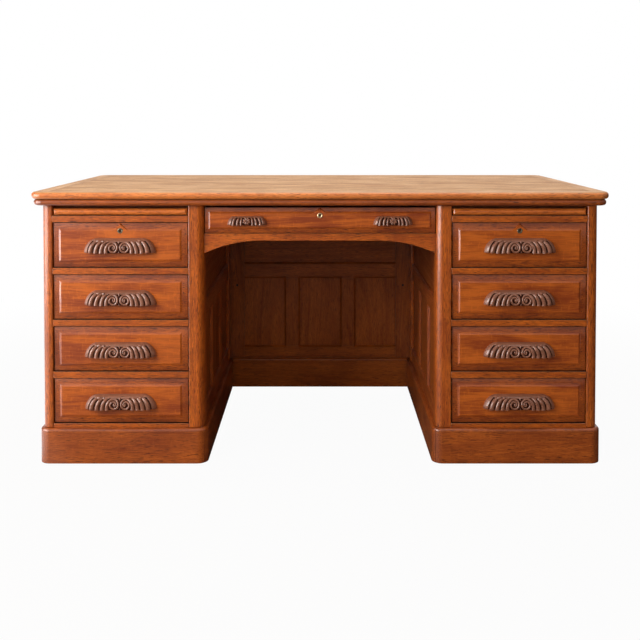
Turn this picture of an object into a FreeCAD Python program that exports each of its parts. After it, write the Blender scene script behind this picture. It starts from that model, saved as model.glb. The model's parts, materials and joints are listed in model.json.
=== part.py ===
import FreeCAD, Part

import math
import os

from FreeCAD import Vector

# A pedestal desk: nine drawers, two writing slides, a framed top and a panelled kneehole.
# Lengths are in millimetres. +X is to the right, the front faces -Y and +Z is up.
# The origin is on the floor, under the middle of the top.

# Whole desk
DESK_HEIGHT = 762.0
TOP_WIDTH = 1610.0
TOP_DEPTH = 840.0
TOP_OVERHANG = 28.0

# Top
TOP_THICKNESS = 20.0
TOP_CORNER_RADIUS = 34.0
LIPPING_WIDTH = 45.0
TOP_BOARD_COUNT = 5
NOSE_RADIUS_SHARE = 0.48

# Frame under the top, with the moulding on its edge
UNDER_FRAME_THICKNESS = 18.0
UNDER_FRAME_WIDTH = 80.0
MOULDING_STEP = 6.0
MOULDING_CORNER_RADIUS = 30.0

# Pedestals and their corner posts
PEDESTAL_WIDTH = 452.0
OUTER_POST_WIDTH = 30.0
INNER_POST_WIDTH = 43.0
POST_DEPTH = 63.0
OUTER_POST_RADIUS = 20.0
INNER_POST_RADIUS = 20.0

# Plinths, and the skirting board of the kneehole
PLINTH_HEIGHT = 98.0
PLINTH_THICKNESS = 18.0
PLINTH_PROJECTION = 10.0
PLINTH_TOP_RADIUS = 8.0
SKIRTING_HEIGHT = 104.0

# Framed sides and backs
FRAME_THICKNESS = 22.0
FRAME_RECESS = 4.0
FRAME_BEVEL = 6.0
LOWER_RAIL_WIDTH = 50.0
LOWER_PANEL_HEIGHT = 244.0
MIDDLE_RAIL_WIDTH = 58.0
UPPER_RAIL_WIDTH = 60.0
SIDE_MUNTIN_WIDTH = 62.0
BACK_MUNTIN_WIDTH = 56.0
PANEL_THICKNESS = 8.0
PANEL_RECESS = 8.0
PANEL_TONGUE = 7.0
SIDE_PANEL_COUNT = 3
PEDESTAL_BACK_PANEL_COUNT = 2

# Back of the kneehole
KNEEHOLE_STILE_WIDTH = 52.0
CLEAT_THICKNESS = 15.0
CLEAT_WIDTH = 40.0

# Front rails, runners and dust boards
DRAWER_COUNT = 4
DRAWER_RAIL_THICKNESS = 18.5
BOTTOM_RAIL_THICKNESS = 12.5
TOP_RAIL_THICKNESS = 8.0
TOP_RAIL_RECESS = 38.0
RUNNER_LEDGE = 25.0
GUIDE_HEIGHT = 60.0
DUST_BOARD_THICKNESS = 6.0

# Running clearances
FRONT_GAP = 2.0
DRAWER_SIDE_GAP = 2.5
RUNNING_GAP = 0.3

# Drawer boxes
DRAWER_REAR_SPACE = 68.0
DRAWER_FRONT_THICKNESS = 22.0
DRAWER_SIDE_THICKNESS = 12.0
DRAWER_SIDE_DROP = 4.0
DRAWER_BACK_THICKNESS = 10.0
DRAWER_BACK_DROP = 8.0
DRAWER_BACK_INSET = 6.0
DRAWER_BOTTOM_THICKNESS = 8.0
DRAWER_BOTTOM_HEIGHT = 8.0
DRAWER_GROOVE_DEPTH = 5.0
DOVETAIL_LENGTH = 14.0
DRAWER_TAIL_COUNT = 3
CENTRE_DRAWER_TAIL_COUNT = 2
DOVETAIL_NECK_SHARE = 0.5
DOVETAIL_END_SHARE = 0.68

# Raised field of the drawer fronts
FIELD_HEIGHT = 6.0
MARGIN_WIDTH = 10.0
MARGIN_FALL_SHARE = 0.18
COVE_WIDTH = 11.0
CENTRE_MARGIN_WIDTH = 7.0
CENTRE_COVE_WIDTH = 9.0
CUSP_WIDTH = 52.0
CUSP_SLOPE_WIDTH = 4.0
CUSP_SAG_SHARE = 0.03

# Centre drawer and the arched apron under it
CENTRE_OPENING_HEIGHT = 75.0
CENTRE_KICKER_THICKNESS = 6.0
CENTRE_RECESS = 8.0
CENTRE_DRAWER_REAR_SPACE = 179.0
CENTRE_RUNNER_WIDTH = 25.0
CENTRE_RUNNER_THICKNESS = 18.0
APRON_RECESS = 14.0
APRON_THICKNESS = 20.0
APRON_MIDDLE_HEIGHT = 20.0
APRON_ARCH_RISE = 36.0
APRON_SHOULDER_LENGTH = 160.0

# Writing slides
SLIDE_THICKNESS = 20.5
SLIDE_REAR_SPACE = 198.0
SLIDE_SIDE_GAP = 2.5
SLIDE_HEAD_GAP = 0.7
SLIDE_CORNER_RADIUS = 10.0
SLIDE_NOSING_DEPTH = 36.0

# Carved handles
HANDLE_WIDTH = 201.0
HANDLE_HEIGHT = 40.0
HANDLE_PROJECTION = 25.0
HANDLE_CROWN = 8.0
HANDLE_WALL = 9.0
SMALL_HANDLE_WIDTH = 110.0
SMALL_HANDLE_HEIGHT = 24.0
SMALL_HANDLE_PROJECTION = 18.0
SMALL_HANDLE_CROWN = 5.0
SMALL_HANDLE_WALL = 5.5
SMALL_HANDLE_END_DISTANCE = 118.5
HANDLE_END_SHARE = 0.68
HANDLE_BULGE_SHARE = 0.82

# Locks
LOCK_WIDTH = 50.0
LOCK_HEIGHT = 42.0
LOCK_THICKNESS = 9.0
BOLT_WIDTH = 18.0
BOLT_THICKNESS = 4.5
BOLT_HEIGHT = 17.0
BOLT_THROW = 7.0
CENTRE_BOLT_THROW = 13.0
BOLT_CLEARANCE = 0.3
MORTISE_CLEARANCE = 1.0
KEYHOLE_RADIUS = 3.0
KEYHOLE_DROP = 22.0
ESCUTCHEON_RADIUS = 7.5
ESCUTCHEON_DEPTH = 4.0
ESCUTCHEON_STAND = 0.6

# Screws
SCREW_LENGTH = 36.0
SCREW_RADIUS = 2.0
SCREW_HEAD_RADIUS = 4.2
SCREW_HEAD_DEPTH = 3.0
SCREW_END_DISTANCE = 50.0
BACK_SCREW_HEIGHT = 367.0
BACK_SCREW_LENGTH = 32.0

# How far a cutting shape runs past what it cuts
OVERRUN = 1.0

# Glue line that parts two mitred boards, and turns about the upright axis in degrees
MITRE_GAP = 0.1
TURN_LEFT = -90.0
TURN_RIGHT = 90.0
TURN_BACK = 180.0

# Places that follow from the sizes
FRONT = TOP_OVERHANG - TOP_DEPTH / 2
REAR = -FRONT
CARCASS_TOP = DESK_HEIGHT - TOP_THICKNESS - UNDER_FRAME_THICKNESS
OUTER_FACE = TOP_OVERHANG - TOP_WIDTH / 2
INNER_FACE = OUTER_FACE + PEDESTAL_WIDTH
OPENING_LEFT = OUTER_FACE + OUTER_POST_WIDTH
OPENING_RIGHT = INNER_FACE - INNER_POST_WIDTH
POST_BACK = FRONT + POST_DEPTH
REAR_POST_FRONT = REAR - POST_DEPTH
SIDE_FRAME_OUTER_BACK = OUTER_FACE + FRAME_RECESS + FRAME_THICKNESS
SIDE_FRAME_INNER_BACK = INNER_FACE - FRAME_RECESS - FRAME_THICKNESS

SLIDE_SPACE = RUNNING_GAP + SLIDE_THICKNESS + SLIDE_HEAD_GAP
SLIDE_BED = CARCASS_TOP - TOP_RAIL_THICKNESS - SLIDE_SPACE
FIRST_FLOOR = PLINTH_HEIGHT + BOTTOM_RAIL_THICKNESS
DRAWER_PITCH = (SLIDE_BED - FIRST_FLOOR) / DRAWER_COUNT
DRAWER_OPENING_HEIGHT = DRAWER_PITCH - DRAWER_RAIL_THICKNESS

APRON_TOP = CARCASS_TOP - CENTRE_KICKER_THICKNESS - CENTRE_OPENING_HEIGHT
CENTRE_FACE = FRONT + CENTRE_RECESS
APRON_FACE = FRONT + APRON_RECESS
APRON_BACK = APRON_FACE + APRON_THICKNESS
KNEEHOLE_BACK_FACE = REAR - CLEAT_THICKNESS - FRAME_THICKNESS
MIDDLE_RAIL_BOTTOM = PLINTH_HEIGHT + LOWER_RAIL_WIDTH + LOWER_PANEL_HEIGHT
MIDDLE_RAIL_TOP = MIDDLE_RAIL_BOTTOM + MIDDLE_RAIL_WIDTH
UPPER_RAIL_BOTTOM = CARCASS_TOP - UPPER_RAIL_WIDTH

BACK_FRAME_FRONT = REAR - FRAME_RECESS - FRAME_THICKNESS
DRAWER_LENGTH = BACK_FRAME_FRONT - DRAWER_REAR_SPACE - FRONT
SLIDE_LENGTH = BACK_FRAME_FRONT - SLIDE_REAR_SPACE - FRONT
CENTRE_DRAWER_LENGTH = KNEEHOLE_BACK_FACE - CENTRE_DRAWER_REAR_SPACE - CENTRE_FACE


# Shared shapes

def block(x0, x1, y0, y1, z0, z1):
    """Return a box between two corners."""
    return Part.makeBox(x1 - x0, y1 - y0, z1 - z0, Vector(x0, y0, z0))


def closed_face(start, *steps):
    """Return the flat face inside an outline.

    A step is the end of a straight line, or a pair: a point that an arc passes, and its end.
    """
    edges = []
    here = start
    for step in steps:
        if isinstance(step, tuple):
            middle, end = step
            edges.append(Part.Arc(here, middle, end).toShape())
        else:
            end = step
            edges.append(Part.makeLine(here, end))
        here = end
    if here != start:
        edges.append(Part.makeLine(here, start))
    return Part.Face(Part.Wire(edges))


def arc_bend(run, rise):
    """Return a point half way along an arc that starts level and ends at (run, rise)."""
    radius = (run ** 2 + rise ** 2) / (2 * rise)
    turn = math.asin(run / radius) / 2
    return radius * math.sin(turn), radius * (1 - math.cos(turn))


def polygon_prism(corners, z0, z1):
    """Return an upright prism over (x, y) corners."""
    points = [Vector(x, y, z0) for x, y in corners]
    return closed_face(*points).extrude(Vector(0, 0, z1 - z0))


def rounded_block(x0, x1, y0, y1, z0, z1, radii):
    """Return a box whose upright corners are rounded.

    The radii go round from the corner (x0, y0) by (x1, y0) and (x1, y1) to (x0, y1).
    """
    corners = [(x0, y0), (x1, y0), (x1, y1), (x0, y1)]
    directions = [(1, 0), (0, 1), (-1, 0), (0, -1)]
    edges = []
    ends = []
    for i, ((x, y), radius) in enumerate(zip(corners, radii)):
        after = directions[i]
        before = directions[i - 1]
        start = Vector(x - before[0] * radius, y - before[1] * radius, z0)
        end = Vector(x + after[0] * radius, y + after[1] * radius, z0)
        if radius:
            cut = radius * (1 - math.sqrt(0.5))
            middle = Vector(x + (after[0] - before[0]) * cut, y + (after[1] - before[1]) * cut, z0)
            edges.append(Part.Arc(start, middle, end).toShape())
        ends.append((start, end))
    for i, (start, end) in enumerate(ends):
        edges.append(Part.makeLine(end, ends[(i + 1) % len(ends)][0]))
    wire = Part.Wire(Part.__sortEdges__(edges))
    return Part.Face(wire).extrude(Vector(0, 0, z1 - z0))


def edges_at_height(shape, height):
    """Return the edges of a shape that lie flat at one height."""
    near = OVERRUN * 1e-3
    return [e for e in shape.Edges
            if abs(e.BoundBox.ZMin - height) < near and abs(e.BoundBox.ZMax - height) < near]


def mitred_boards(ring, x0, x1, y0, y1, width):
    """Cut a ring into four boards, parted by a glue line on the diagonals of its corners."""
    z0 = ring.BoundBox.ZMin - OVERRUN
    z1 = ring.BoundBox.ZMax + OVERRUN

    def corners(inset):
        return [(x0 + inset, y0 + inset), (x1 - inset, y0 + inset),
                (x1 - inset, y1 - inset), (x0 + inset, y1 - inset)]

    outer = corners(-OVERRUN)
    inner = corners(width)
    directions = [(1, 0), (0, 1), (-1, 0), (0, -1)]
    boards = []
    for i, (dx, dy) in enumerate(directions):
        j = (i + 1) % len(directions)
        steps = [(outer[i], MITRE_GAP), (outer[j], -MITRE_GAP), (inner[j], -MITRE_GAP), (inner[i], MITRE_GAP)]
        side = polygon_prism([(x + dx * gap, y + dy * gap) for (x, y), gap in steps], z0, z1)
        boards.append(ring.common(side))
    return boards


def mirrored(shape):
    """Return the shape on the other side of the desk's middle."""
    return shape.mirror(Vector(0, 0, 0), Vector(1, 0, 0))


def group(solids):
    """Return separate solids as one shape."""
    return Part.makeCompound([s for shape in solids for s in shape.Solids])


def cut_all(shapes, tools):
    """Cut each shape with those tools that reach it."""
    cut = []
    for shape in shapes:
        near = [t for t in tools if shape.BoundBox.intersect(t.BoundBox)]
        cut.append(shape.cut(near) if near else shape)
    return cut


def screw(head, direction, length):
    """Return a countersunk screw whose flat head lies at a point."""
    cone = Part.makeCone(SCREW_HEAD_RADIUS, SCREW_RADIUS, SCREW_HEAD_DEPTH, head, direction)
    shank = Part.makeCylinder(SCREW_RADIUS, length, head, direction)
    return cone.fuse(shank)


# Top

def nosed_slab(half_x, half_y, z0, z1, corner_radius):
    """Return a board with a bullnose edge all round."""
    slab = rounded_block(-half_x, half_x, -half_y, half_y, z0, z1, [corner_radius] * 4)
    edges = edges_at_height(slab, z0) + edges_at_height(slab, z1)
    return slab.makeFillet((z1 - z0) * NOSE_RADIUS_SHARE, edges)


def top_field_halves():
    """Return half the width and half the depth of the top inside its lipping."""
    return TOP_WIDTH / 2 - LIPPING_WIDTH, TOP_DEPTH / 2 - LIPPING_WIDTH


def make_top_boards():
    """Boards of the top, side by side along X."""
    half_x, half_y = top_field_halves()
    width = 2 * half_y / TOP_BOARD_COUNT
    boards = []
    for i in range(TOP_BOARD_COUNT):
        y = -half_y + i * width
        boards.append(block(-half_x, half_x, y, y + width, DESK_HEIGHT - TOP_THICKNESS, DESK_HEIGHT))
    return boards


def make_top_lipping():
    """Mitred lipping with a bullnose edge."""
    half_x, half_y = top_field_halves()
    z0 = DESK_HEIGHT - TOP_THICKNESS
    slab = nosed_slab(TOP_WIDTH / 2, TOP_DEPTH / 2, z0, DESK_HEIGHT, TOP_CORNER_RADIUS)
    ring = slab.cut(block(-half_x, half_x, -half_y, half_y, z0 - OVERRUN, DESK_HEIGHT + OVERRUN))
    return mitred_boards(ring, -TOP_WIDTH / 2, TOP_WIDTH / 2, -TOP_DEPTH / 2, TOP_DEPTH / 2,
                         LIPPING_WIDTH)


def make_under_frame():
    """Mitred boards under the top, and two bearers over the kneehole's sides."""
    half_x = TOP_WIDTH / 2 - MOULDING_STEP
    half_y = TOP_DEPTH / 2 - MOULDING_STEP
    inner_x = half_x - UNDER_FRAME_WIDTH
    inner_y = half_y - UNDER_FRAME_WIDTH
    top = CARCASS_TOP + UNDER_FRAME_THICKNESS
    slab = nosed_slab(half_x, half_y, CARCASS_TOP, top, MOULDING_CORNER_RADIUS)
    ring = slab.cut(block(-inner_x, inner_x, -inner_y, inner_y, CARCASS_TOP - OVERRUN, top + OVERRUN))
    boards = mitred_boards(ring, -half_x, half_x, -half_y, half_y, UNDER_FRAME_WIDTH)
    bearer = block(OPENING_RIGHT - RUNNER_LEDGE, INNER_FACE, -inner_y, inner_y, CARCASS_TOP, top)
    return boards + [bearer, mirrored(bearer)]


# Pedestals, made on the left and mirrored for the right

def make_posts():
    """Four corner posts; the outer corners and the kneehole's front corner are rounded."""
    outer = (OUTER_FACE, OPENING_LEFT)
    inner = (OPENING_RIGHT, INNER_FACE)
    front = (FRONT, POST_BACK)
    rear = (REAR_POST_FRONT, REAR)
    height = (PLINTH_HEIGHT, CARCASS_TOP)
    return [rounded_block(*outer, *front, *height, [OUTER_POST_RADIUS, 0, 0, 0]),
            rounded_block(*inner, *front, *height, [0, INNER_POST_RADIUS, 0, 0]),
            rounded_block(*outer, *rear, *height, [0, 0, 0, OUTER_POST_RADIUS]),
            rounded_block(*inner, *rear, *height, [0, 0, 0, 0])]


def bevel_cutter(x0, x1, z0, z1):
    """Return the sloped edges that are cut round a panel's opening in a frame facing -Y."""
    def rectangle(grow, y):
        points = [Vector(x0 - grow, y, z0 - grow), Vector(x1 + grow, y, z0 - grow),
                  Vector(x1 + grow, y, z1 + grow), Vector(x0 - grow, y, z1 + grow)]
        return Part.makePolygon(points + points[:1])

    return Part.makeLoft([rectangle(FRAME_BEVEL + OVERRUN, -OVERRUN), rectangle(0, FRAME_BEVEL)],
                         True, True)


def panelled_frame(half, base, rail_top, count, muntin_width):
    """Return the rails and muntins of a frame, and its panels.

    The frame's face is at y = 0 and its middle at x = 0. A row of upright panels, count of them,
    stands under the middle rail, and one long panel lies over it.
    """
    top = CARCASS_TOP
    rails = [block(-half, half, 0, FRAME_THICKNESS, base, rail_top),
             block(-half, half, 0, FRAME_THICKNESS, MIDDLE_RAIL_BOTTOM, MIDDLE_RAIL_TOP),
             block(-half, half, 0, FRAME_THICKNESS, UPPER_RAIL_BOTTOM, top)]
    panel_width = (2 * half - (count - 1) * muntin_width) / count
    openings = [(-half, half, MIDDLE_RAIL_TOP, UPPER_RAIL_BOTTOM)]
    muntins = []
    for i in range(count):
        x = -half + i * (panel_width + muntin_width)
        openings.append((x, x + panel_width, rail_top, MIDDLE_RAIL_BOTTOM))
        if i:
            muntins.append(block(x - muntin_width, x, 0, FRAME_THICKNESS, rail_top, MIDDLE_RAIL_BOTTOM))
    panels = [block(x0 - PANEL_TONGUE, x1 + PANEL_TONGUE, PANEL_RECESS, PANEL_RECESS + PANEL_THICKNESS,
                    z0 - PANEL_TONGUE, z1 + PANEL_TONGUE) for x0, x1, z0, z1 in openings]
    bevels = [bevel_cutter(*opening) for opening in openings]
    return cut_all(rails + muntins, panels + bevels), panels


def placed(shapes, position, angle):
    """Turn shapes about the upright axis and move them."""
    placement = FreeCAD.Placement(position, FreeCAD.Rotation(Vector(0, 0, 1), angle))
    moved = []
    for shape in shapes:
        copy = shape.copy()
        copy.Placement = placement
        moved.append(copy)
    return moved


def make_pedestal_frames():
    """Return the side frames, the back frame and all the panels of a pedestal."""
    rail_top = PLINTH_HEIGHT + LOWER_RAIL_WIDTH
    side, side_panels = panelled_frame(REAR_POST_FRONT, PLINTH_HEIGHT, rail_top,
                                       SIDE_PANEL_COUNT, SIDE_MUNTIN_WIDTH)
    half = (OPENING_RIGHT - OPENING_LEFT) / 2
    back, back_panels = panelled_frame(half, PLINTH_HEIGHT, rail_top,
                                       PEDESTAL_BACK_PANEL_COUNT, SIDE_MUNTIN_WIDTH)
    at_outer = (Vector(OUTER_FACE + FRAME_RECESS, 0, 0), TURN_LEFT)
    at_inner = (Vector(INNER_FACE - FRAME_RECESS, 0, 0), TURN_RIGHT)
    at_back = (Vector((OPENING_LEFT + OPENING_RIGHT) / 2, REAR - FRAME_RECESS, 0), TURN_BACK)
    sides = placed(side, *at_outer) + placed(side, *at_inner)
    panels = (placed(side_panels, *at_outer) + placed(side_panels, *at_inner)
              + placed(back_panels, *at_back))
    return sides, placed(back, *at_back), panels


def drawer_floor(number):
    """Height of the rail's top under a drawer; drawer 1 is the highest."""
    return FIRST_FLOOR + (DRAWER_COUNT - number) * DRAWER_PITCH


def make_front_rails():
    """Rails across the front, from the bottom rail to the thin one over the slide."""
    rails = [block(OPENING_LEFT, OPENING_RIGHT, FRONT, POST_BACK, PLINTH_HEIGHT, FIRST_FLOOR)]
    for number in range(1, DRAWER_COUNT + 1):
        ceiling = drawer_floor(number) + DRAWER_OPENING_HEIGHT
        rails.append(block(OPENING_LEFT, OPENING_RIGHT, FRONT, POST_BACK,
                           ceiling, ceiling + DRAWER_RAIL_THICKNESS))
    rails.append(block(OPENING_LEFT, OPENING_RIGHT, FRONT + TOP_RAIL_RECESS, POST_BACK,
                       CARCASS_TOP - TOP_RAIL_THICKNESS, CARCASS_TOP))
    return rails


def side_strips(ledge, z0, z1):
    """Return a strip along each side frame, as far as the ledge past the opening's edge."""
    return [block(SIDE_FRAME_OUTER_BACK, OPENING_LEFT + ledge, POST_BACK, REAR_POST_FRONT, z0, z1),
            block(OPENING_RIGHT - ledge, SIDE_FRAME_INNER_BACK, POST_BACK, REAR_POST_FRONT, z0, z1)]


def make_runners():
    """Runners behind the rails, guides beside the drawers and slide, kickers over the slide."""
    strips = []
    for number in range(1, DRAWER_COUNT + 1):
        floor = drawer_floor(number)
        ceiling = floor + DRAWER_OPENING_HEIGHT
        strips += side_strips(RUNNER_LEDGE, ceiling, ceiling + DRAWER_RAIL_THICKNESS)
        strips += side_strips(0, floor, floor + GUIDE_HEIGHT)
    strips += side_strips(0, SLIDE_BED, SLIDE_BED + SLIDE_SPACE)
    strips += side_strips(RUNNER_LEDGE, SLIDE_BED + SLIDE_SPACE, CARCASS_TOP)
    return strips


def make_pedestal_boards(posts):
    """Bottom board, and a dust board level with each rail above it."""
    bottom = block(SIDE_FRAME_OUTER_BACK, SIDE_FRAME_INNER_BACK, POST_BACK,
                   BACK_FRAME_FRONT, PLINTH_HEIGHT, FIRST_FLOOR)
    boards = cut_all([bottom], posts)
    for number in range(1, DRAWER_COUNT + 1):
        middle = drawer_floor(number) + DRAWER_OPENING_HEIGHT + DRAWER_RAIL_THICKNESS / 2
        boards.append(block(OPENING_LEFT + RUNNER_LEDGE, OPENING_RIGHT - RUNNER_LEDGE,
                            POST_BACK, REAR_POST_FRONT,
                            middle - DUST_BOARD_THICKNESS / 2, middle + DUST_BOARD_THICKNESS / 2))
    return boards


def plinth_bounds():
    """Return the sides of a pedestal's plinth: left, right, front and rear."""
    return (OUTER_FACE - PLINTH_PROJECTION, INNER_FACE + PLINTH_PROJECTION,
            FRONT - PLINTH_PROJECTION, REAR + PLINTH_PROJECTION)


def plinth_block():
    """Return the outside of a plinth as one block with rounded corners and a rounded top edge."""
    outer = OUTER_POST_RADIUS + PLINTH_PROJECTION
    inner = INNER_POST_RADIUS + PLINTH_PROJECTION
    solid = rounded_block(*plinth_bounds(), 0, PLINTH_HEIGHT, [outer, inner, inner, outer])
    return solid.makeFillet(PLINTH_TOP_RADIUS, edges_at_height(solid, PLINTH_HEIGHT))


def make_plinth():
    """Four mitred plinth boards with rounded corners and a rounded top edge."""
    x0, x1, y0, y1 = plinth_bounds()
    solid = plinth_block()
    wall = PLINTH_THICKNESS
    ring = solid.cut(block(x0 + wall, x1 - wall, y0 + wall, y1 - wall, -OVERRUN, PLINTH_HEIGHT + OVERRUN))
    return mitred_boards(ring, x0, x1, y0, y1, wall)


# Kneehole

def make_kneehole_back():
    """Return the frame of the kneehole's back with its two cleats, and its panels."""
    half = -INNER_FACE - KNEEHOLE_STILE_WIDTH
    rail_top = PLINTH_HEIGHT + LOWER_RAIL_WIDTH
    members, panels = panelled_frame(half, SKIRTING_HEIGHT, rail_top,
                                     SIDE_PANEL_COUNT, BACK_MUNTIN_WIDTH)
    stile = block(-half - KNEEHOLE_STILE_WIDTH, -half, 0, FRAME_THICKNESS, SKIRTING_HEIGHT, CARCASS_TOP)
    stiles = cut_all([stile, mirrored(stile)], panels)
    # The cleats stand on the floor and are cut round the plinths
    cleat = block(INNER_FACE, INNER_FACE + CLEAT_WIDTH, FRAME_THICKNESS,
                  FRAME_THICKNESS + CLEAT_THICKNESS, 0, CARCASS_TOP)
    cleat = cleat.cut(plinth_block().translated(Vector(0, -KNEEHOLE_BACK_FACE, 0))).Solids[0]
    place = (Vector(0, KNEEHOLE_BACK_FACE, 0), 0)
    return placed(members + stiles + [cleat, mirrored(cleat)], *place), placed(panels, *place)


def make_skirting():
    """Skirting board under the kneehole's back, between the two plinths."""
    y0 = KNEEHOLE_BACK_FACE - PLINTH_PROJECTION
    half = -INNER_FACE - PLINTH_PROJECTION
    board = block(-half, half, y0, y0 + PLINTH_THICKNESS, 0, SKIRTING_HEIGHT)
    front_edge = [e for e in edges_at_height(board, SKIRTING_HEIGHT)
                  if abs(e.CenterOfMass.y - y0) < OVERRUN * 1e-3]
    return board.makeFillet(PLINTH_TOP_RADIUS, front_edge)


def make_apron():
    """Board under the centre drawer; its lower edge is flat in the middle and falls at the ends."""
    half = -INNER_FACE
    flat = half - APRON_SHOULDER_LENGTH
    middle = APRON_TOP - APRON_MIDDLE_HEIGHT
    run, fall = arc_bend(APRON_SHOULDER_LENGTH, APRON_ARCH_RISE)
    bend = (flat + run, middle - fall)
    end = middle - APRON_ARCH_RISE
    face = closed_face(Vector(-half, APRON_FACE, APRON_TOP), Vector(-half, APRON_FACE, end),
                       (Vector(-bend[0], APRON_FACE, bend[1]), Vector(-flat, APRON_FACE, middle)),
                       Vector(flat, APRON_FACE, middle),
                       (Vector(bend[0], APRON_FACE, bend[1]), Vector(half, APRON_FACE, end)),
                       Vector(half, APRON_FACE, APRON_TOP))
    return face.extrude(Vector(0, APRON_THICKNESS, 0))


def make_centre_runners():
    """Runners and kickers of the centre drawer, fixed between front and rear posts."""
    x0 = INNER_FACE
    x1 = INNER_FACE + CENTRE_RUNNER_WIDTH
    runner = block(x0, x1, APRON_BACK, KNEEHOLE_BACK_FACE, APRON_TOP - CENTRE_RUNNER_THICKNESS, APRON_TOP)
    kicker = block(x0, x1, APRON_BACK, KNEEHOLE_BACK_FACE,
                   CARCASS_TOP - CENTRE_KICKER_THICKNESS, CARCASS_TOP)
    return [runner, kicker, mirrored(runner), mirrored(kicker)]


# Drawers

class Drawer:
    """A drawer by the sizes of its front and box."""

    def __init__(self, opening, floor, ceiling, face, length, border, tails):
        """Take the opening's sides, its floor and ceiling, and the front's face and border."""
        self.x0 = opening[0] + DRAWER_SIDE_GAP
        self.x1 = opening[1] - DRAWER_SIDE_GAP
        self.z0 = floor + FRONT_GAP
        self.z1 = ceiling - FRONT_GAP
        self.face = face
        self.back_of_front = face + DRAWER_FRONT_THICKNESS
        self.rear = face + length
        self.side_foot = floor + RUNNING_GAP
        self.margin, self.cove = border
        self.tails = tails
        self.middle = (self.x0 + self.x1) / 2

    def fielded_profile(self, low, high, to_point):
        """Outline across the front: sloped margins, coves and the raised field."""
        edge = self.face + FIELD_HEIGHT
        level = edge - self.margin * MARGIN_FALL_SHARE
        bend, rise = arc_bend(self.cove, level - self.face)
        run = self.margin + bend
        border = self.margin + self.cove
        return closed_face(to_point(low, self.back_of_front), to_point(low, edge),
                           to_point(low + self.margin, level),
                           (to_point(low + run, level - rise), to_point(low + border, self.face)),
                           to_point(high - border, self.face),
                           (to_point(high - run, level - rise), to_point(high - self.margin, level)),
                           to_point(high, edge), to_point(high, self.back_of_front))

    def make_cusp(self):
        """Pointed rise of the field to the front's upper edge, above the keyhole."""
        base = self.z1 - self.margin - self.cove

        def outline(shrink, y):
            half = CUSP_WIDTH / 2 - shrink
            tip = self.z1 - shrink
            sag = CUSP_SAG_SHARE * math.hypot(half, tip - base)
            slope = math.atan2(tip - base, half)
            x = half / 2 - sag * math.sin(slope)
            z = (base + tip) / 2 - sag * math.cos(slope)
            middle = self.middle
            face = closed_face(Vector(middle - half, y, base),
                               (Vector(middle - x, y, z), Vector(middle, y, tip)),
                               (Vector(middle + x, y, z), Vector(middle + half, y, base)))
            return face.OuterWire

        level = self.face + FIELD_HEIGHT
        return Part.makeLoft([outline(0, level), outline(CUSP_SLOPE_WIDTH, self.face)], True, True)

    def make_front(self):
        """Front board with its raised field."""
        upright = self.fielded_profile(self.z0, self.z1, lambda a, y: Vector(self.x0, y, a))
        level = self.fielded_profile(self.x0, self.x1, lambda a, y: Vector(a, y, self.z0))
        along = upright.extrude(Vector(self.x1 - self.x0, 0, 0))
        return along.common(level.extrude(Vector(0, 0, self.z1 - self.z0)))

    def make_side(self, x):
        """Side board from x towards +X, with dovetails that enter the front."""
        z0 = self.side_foot
        z1 = self.z1 - DRAWER_SIDE_DROP
        pitch = (z1 - z0) / self.tails
        neck = pitch * DOVETAIL_NECK_SHARE / 2
        end = pitch * DOVETAIL_END_SHARE / 2
        tip = self.back_of_front - DOVETAIL_LENGTH
        points = [(self.rear, z0), (self.back_of_front, z0)]
        for i in range(self.tails):
            z = z0 + (i + 0.5) * pitch
            points += [(self.back_of_front, z - neck), (tip, z - end),
                       (tip, z + end), (self.back_of_front, z + neck)]
        points += [(self.back_of_front, z1), (self.rear, z1)]
        outline = closed_face(*[Vector(x, y, z) for y, z in points])
        return outline.extrude(Vector(DRAWER_SIDE_THICKNESS, 0, 0))

    def make_bottom(self):
        """Bottom board, in grooves of the front and the sides."""
        inset = DRAWER_SIDE_THICKNESS - DRAWER_GROOVE_DEPTH
        z = self.side_foot + DRAWER_BOTTOM_HEIGHT
        return block(self.x0 + inset, self.x1 - inset, self.back_of_front - DRAWER_GROOVE_DEPTH,
                     self.rear, z, z + DRAWER_BOTTOM_THICKNESS)

    def make_back(self):
        """Back board, on the bottom and between the sides."""
        y1 = self.rear - DRAWER_BACK_INSET
        return block(self.x0 + DRAWER_SIDE_THICKNESS, self.x1 - DRAWER_SIDE_THICKNESS,
                     y1 - DRAWER_BACK_THICKNESS, y1,
                     self.side_foot + DRAWER_BOTTOM_HEIGHT + DRAWER_BOTTOM_THICKNESS,
                     self.z1 - DRAWER_SIDE_DROP - DRAWER_BACK_DROP)

    def make_parts(self, lock=None):
        """Return the front and the box; a lock adds its cusp, recess and keyhole."""
        bottom = self.make_bottom()
        left = self.make_side(self.x0)
        right = self.make_side(self.x1 - DRAWER_SIDE_THICKNESS)
        front = self.make_front()
        if lock:
            front = front.fuse(self.make_cusp()).removeSplitter()
            front = front.cut([lock.case_block(), lock.keyhole(), lock.escutcheon()])
        front = front.cut([left, right, bottom])
        return front, cut_all([left, right], [bottom]) + [self.make_back(), bottom]


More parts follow.
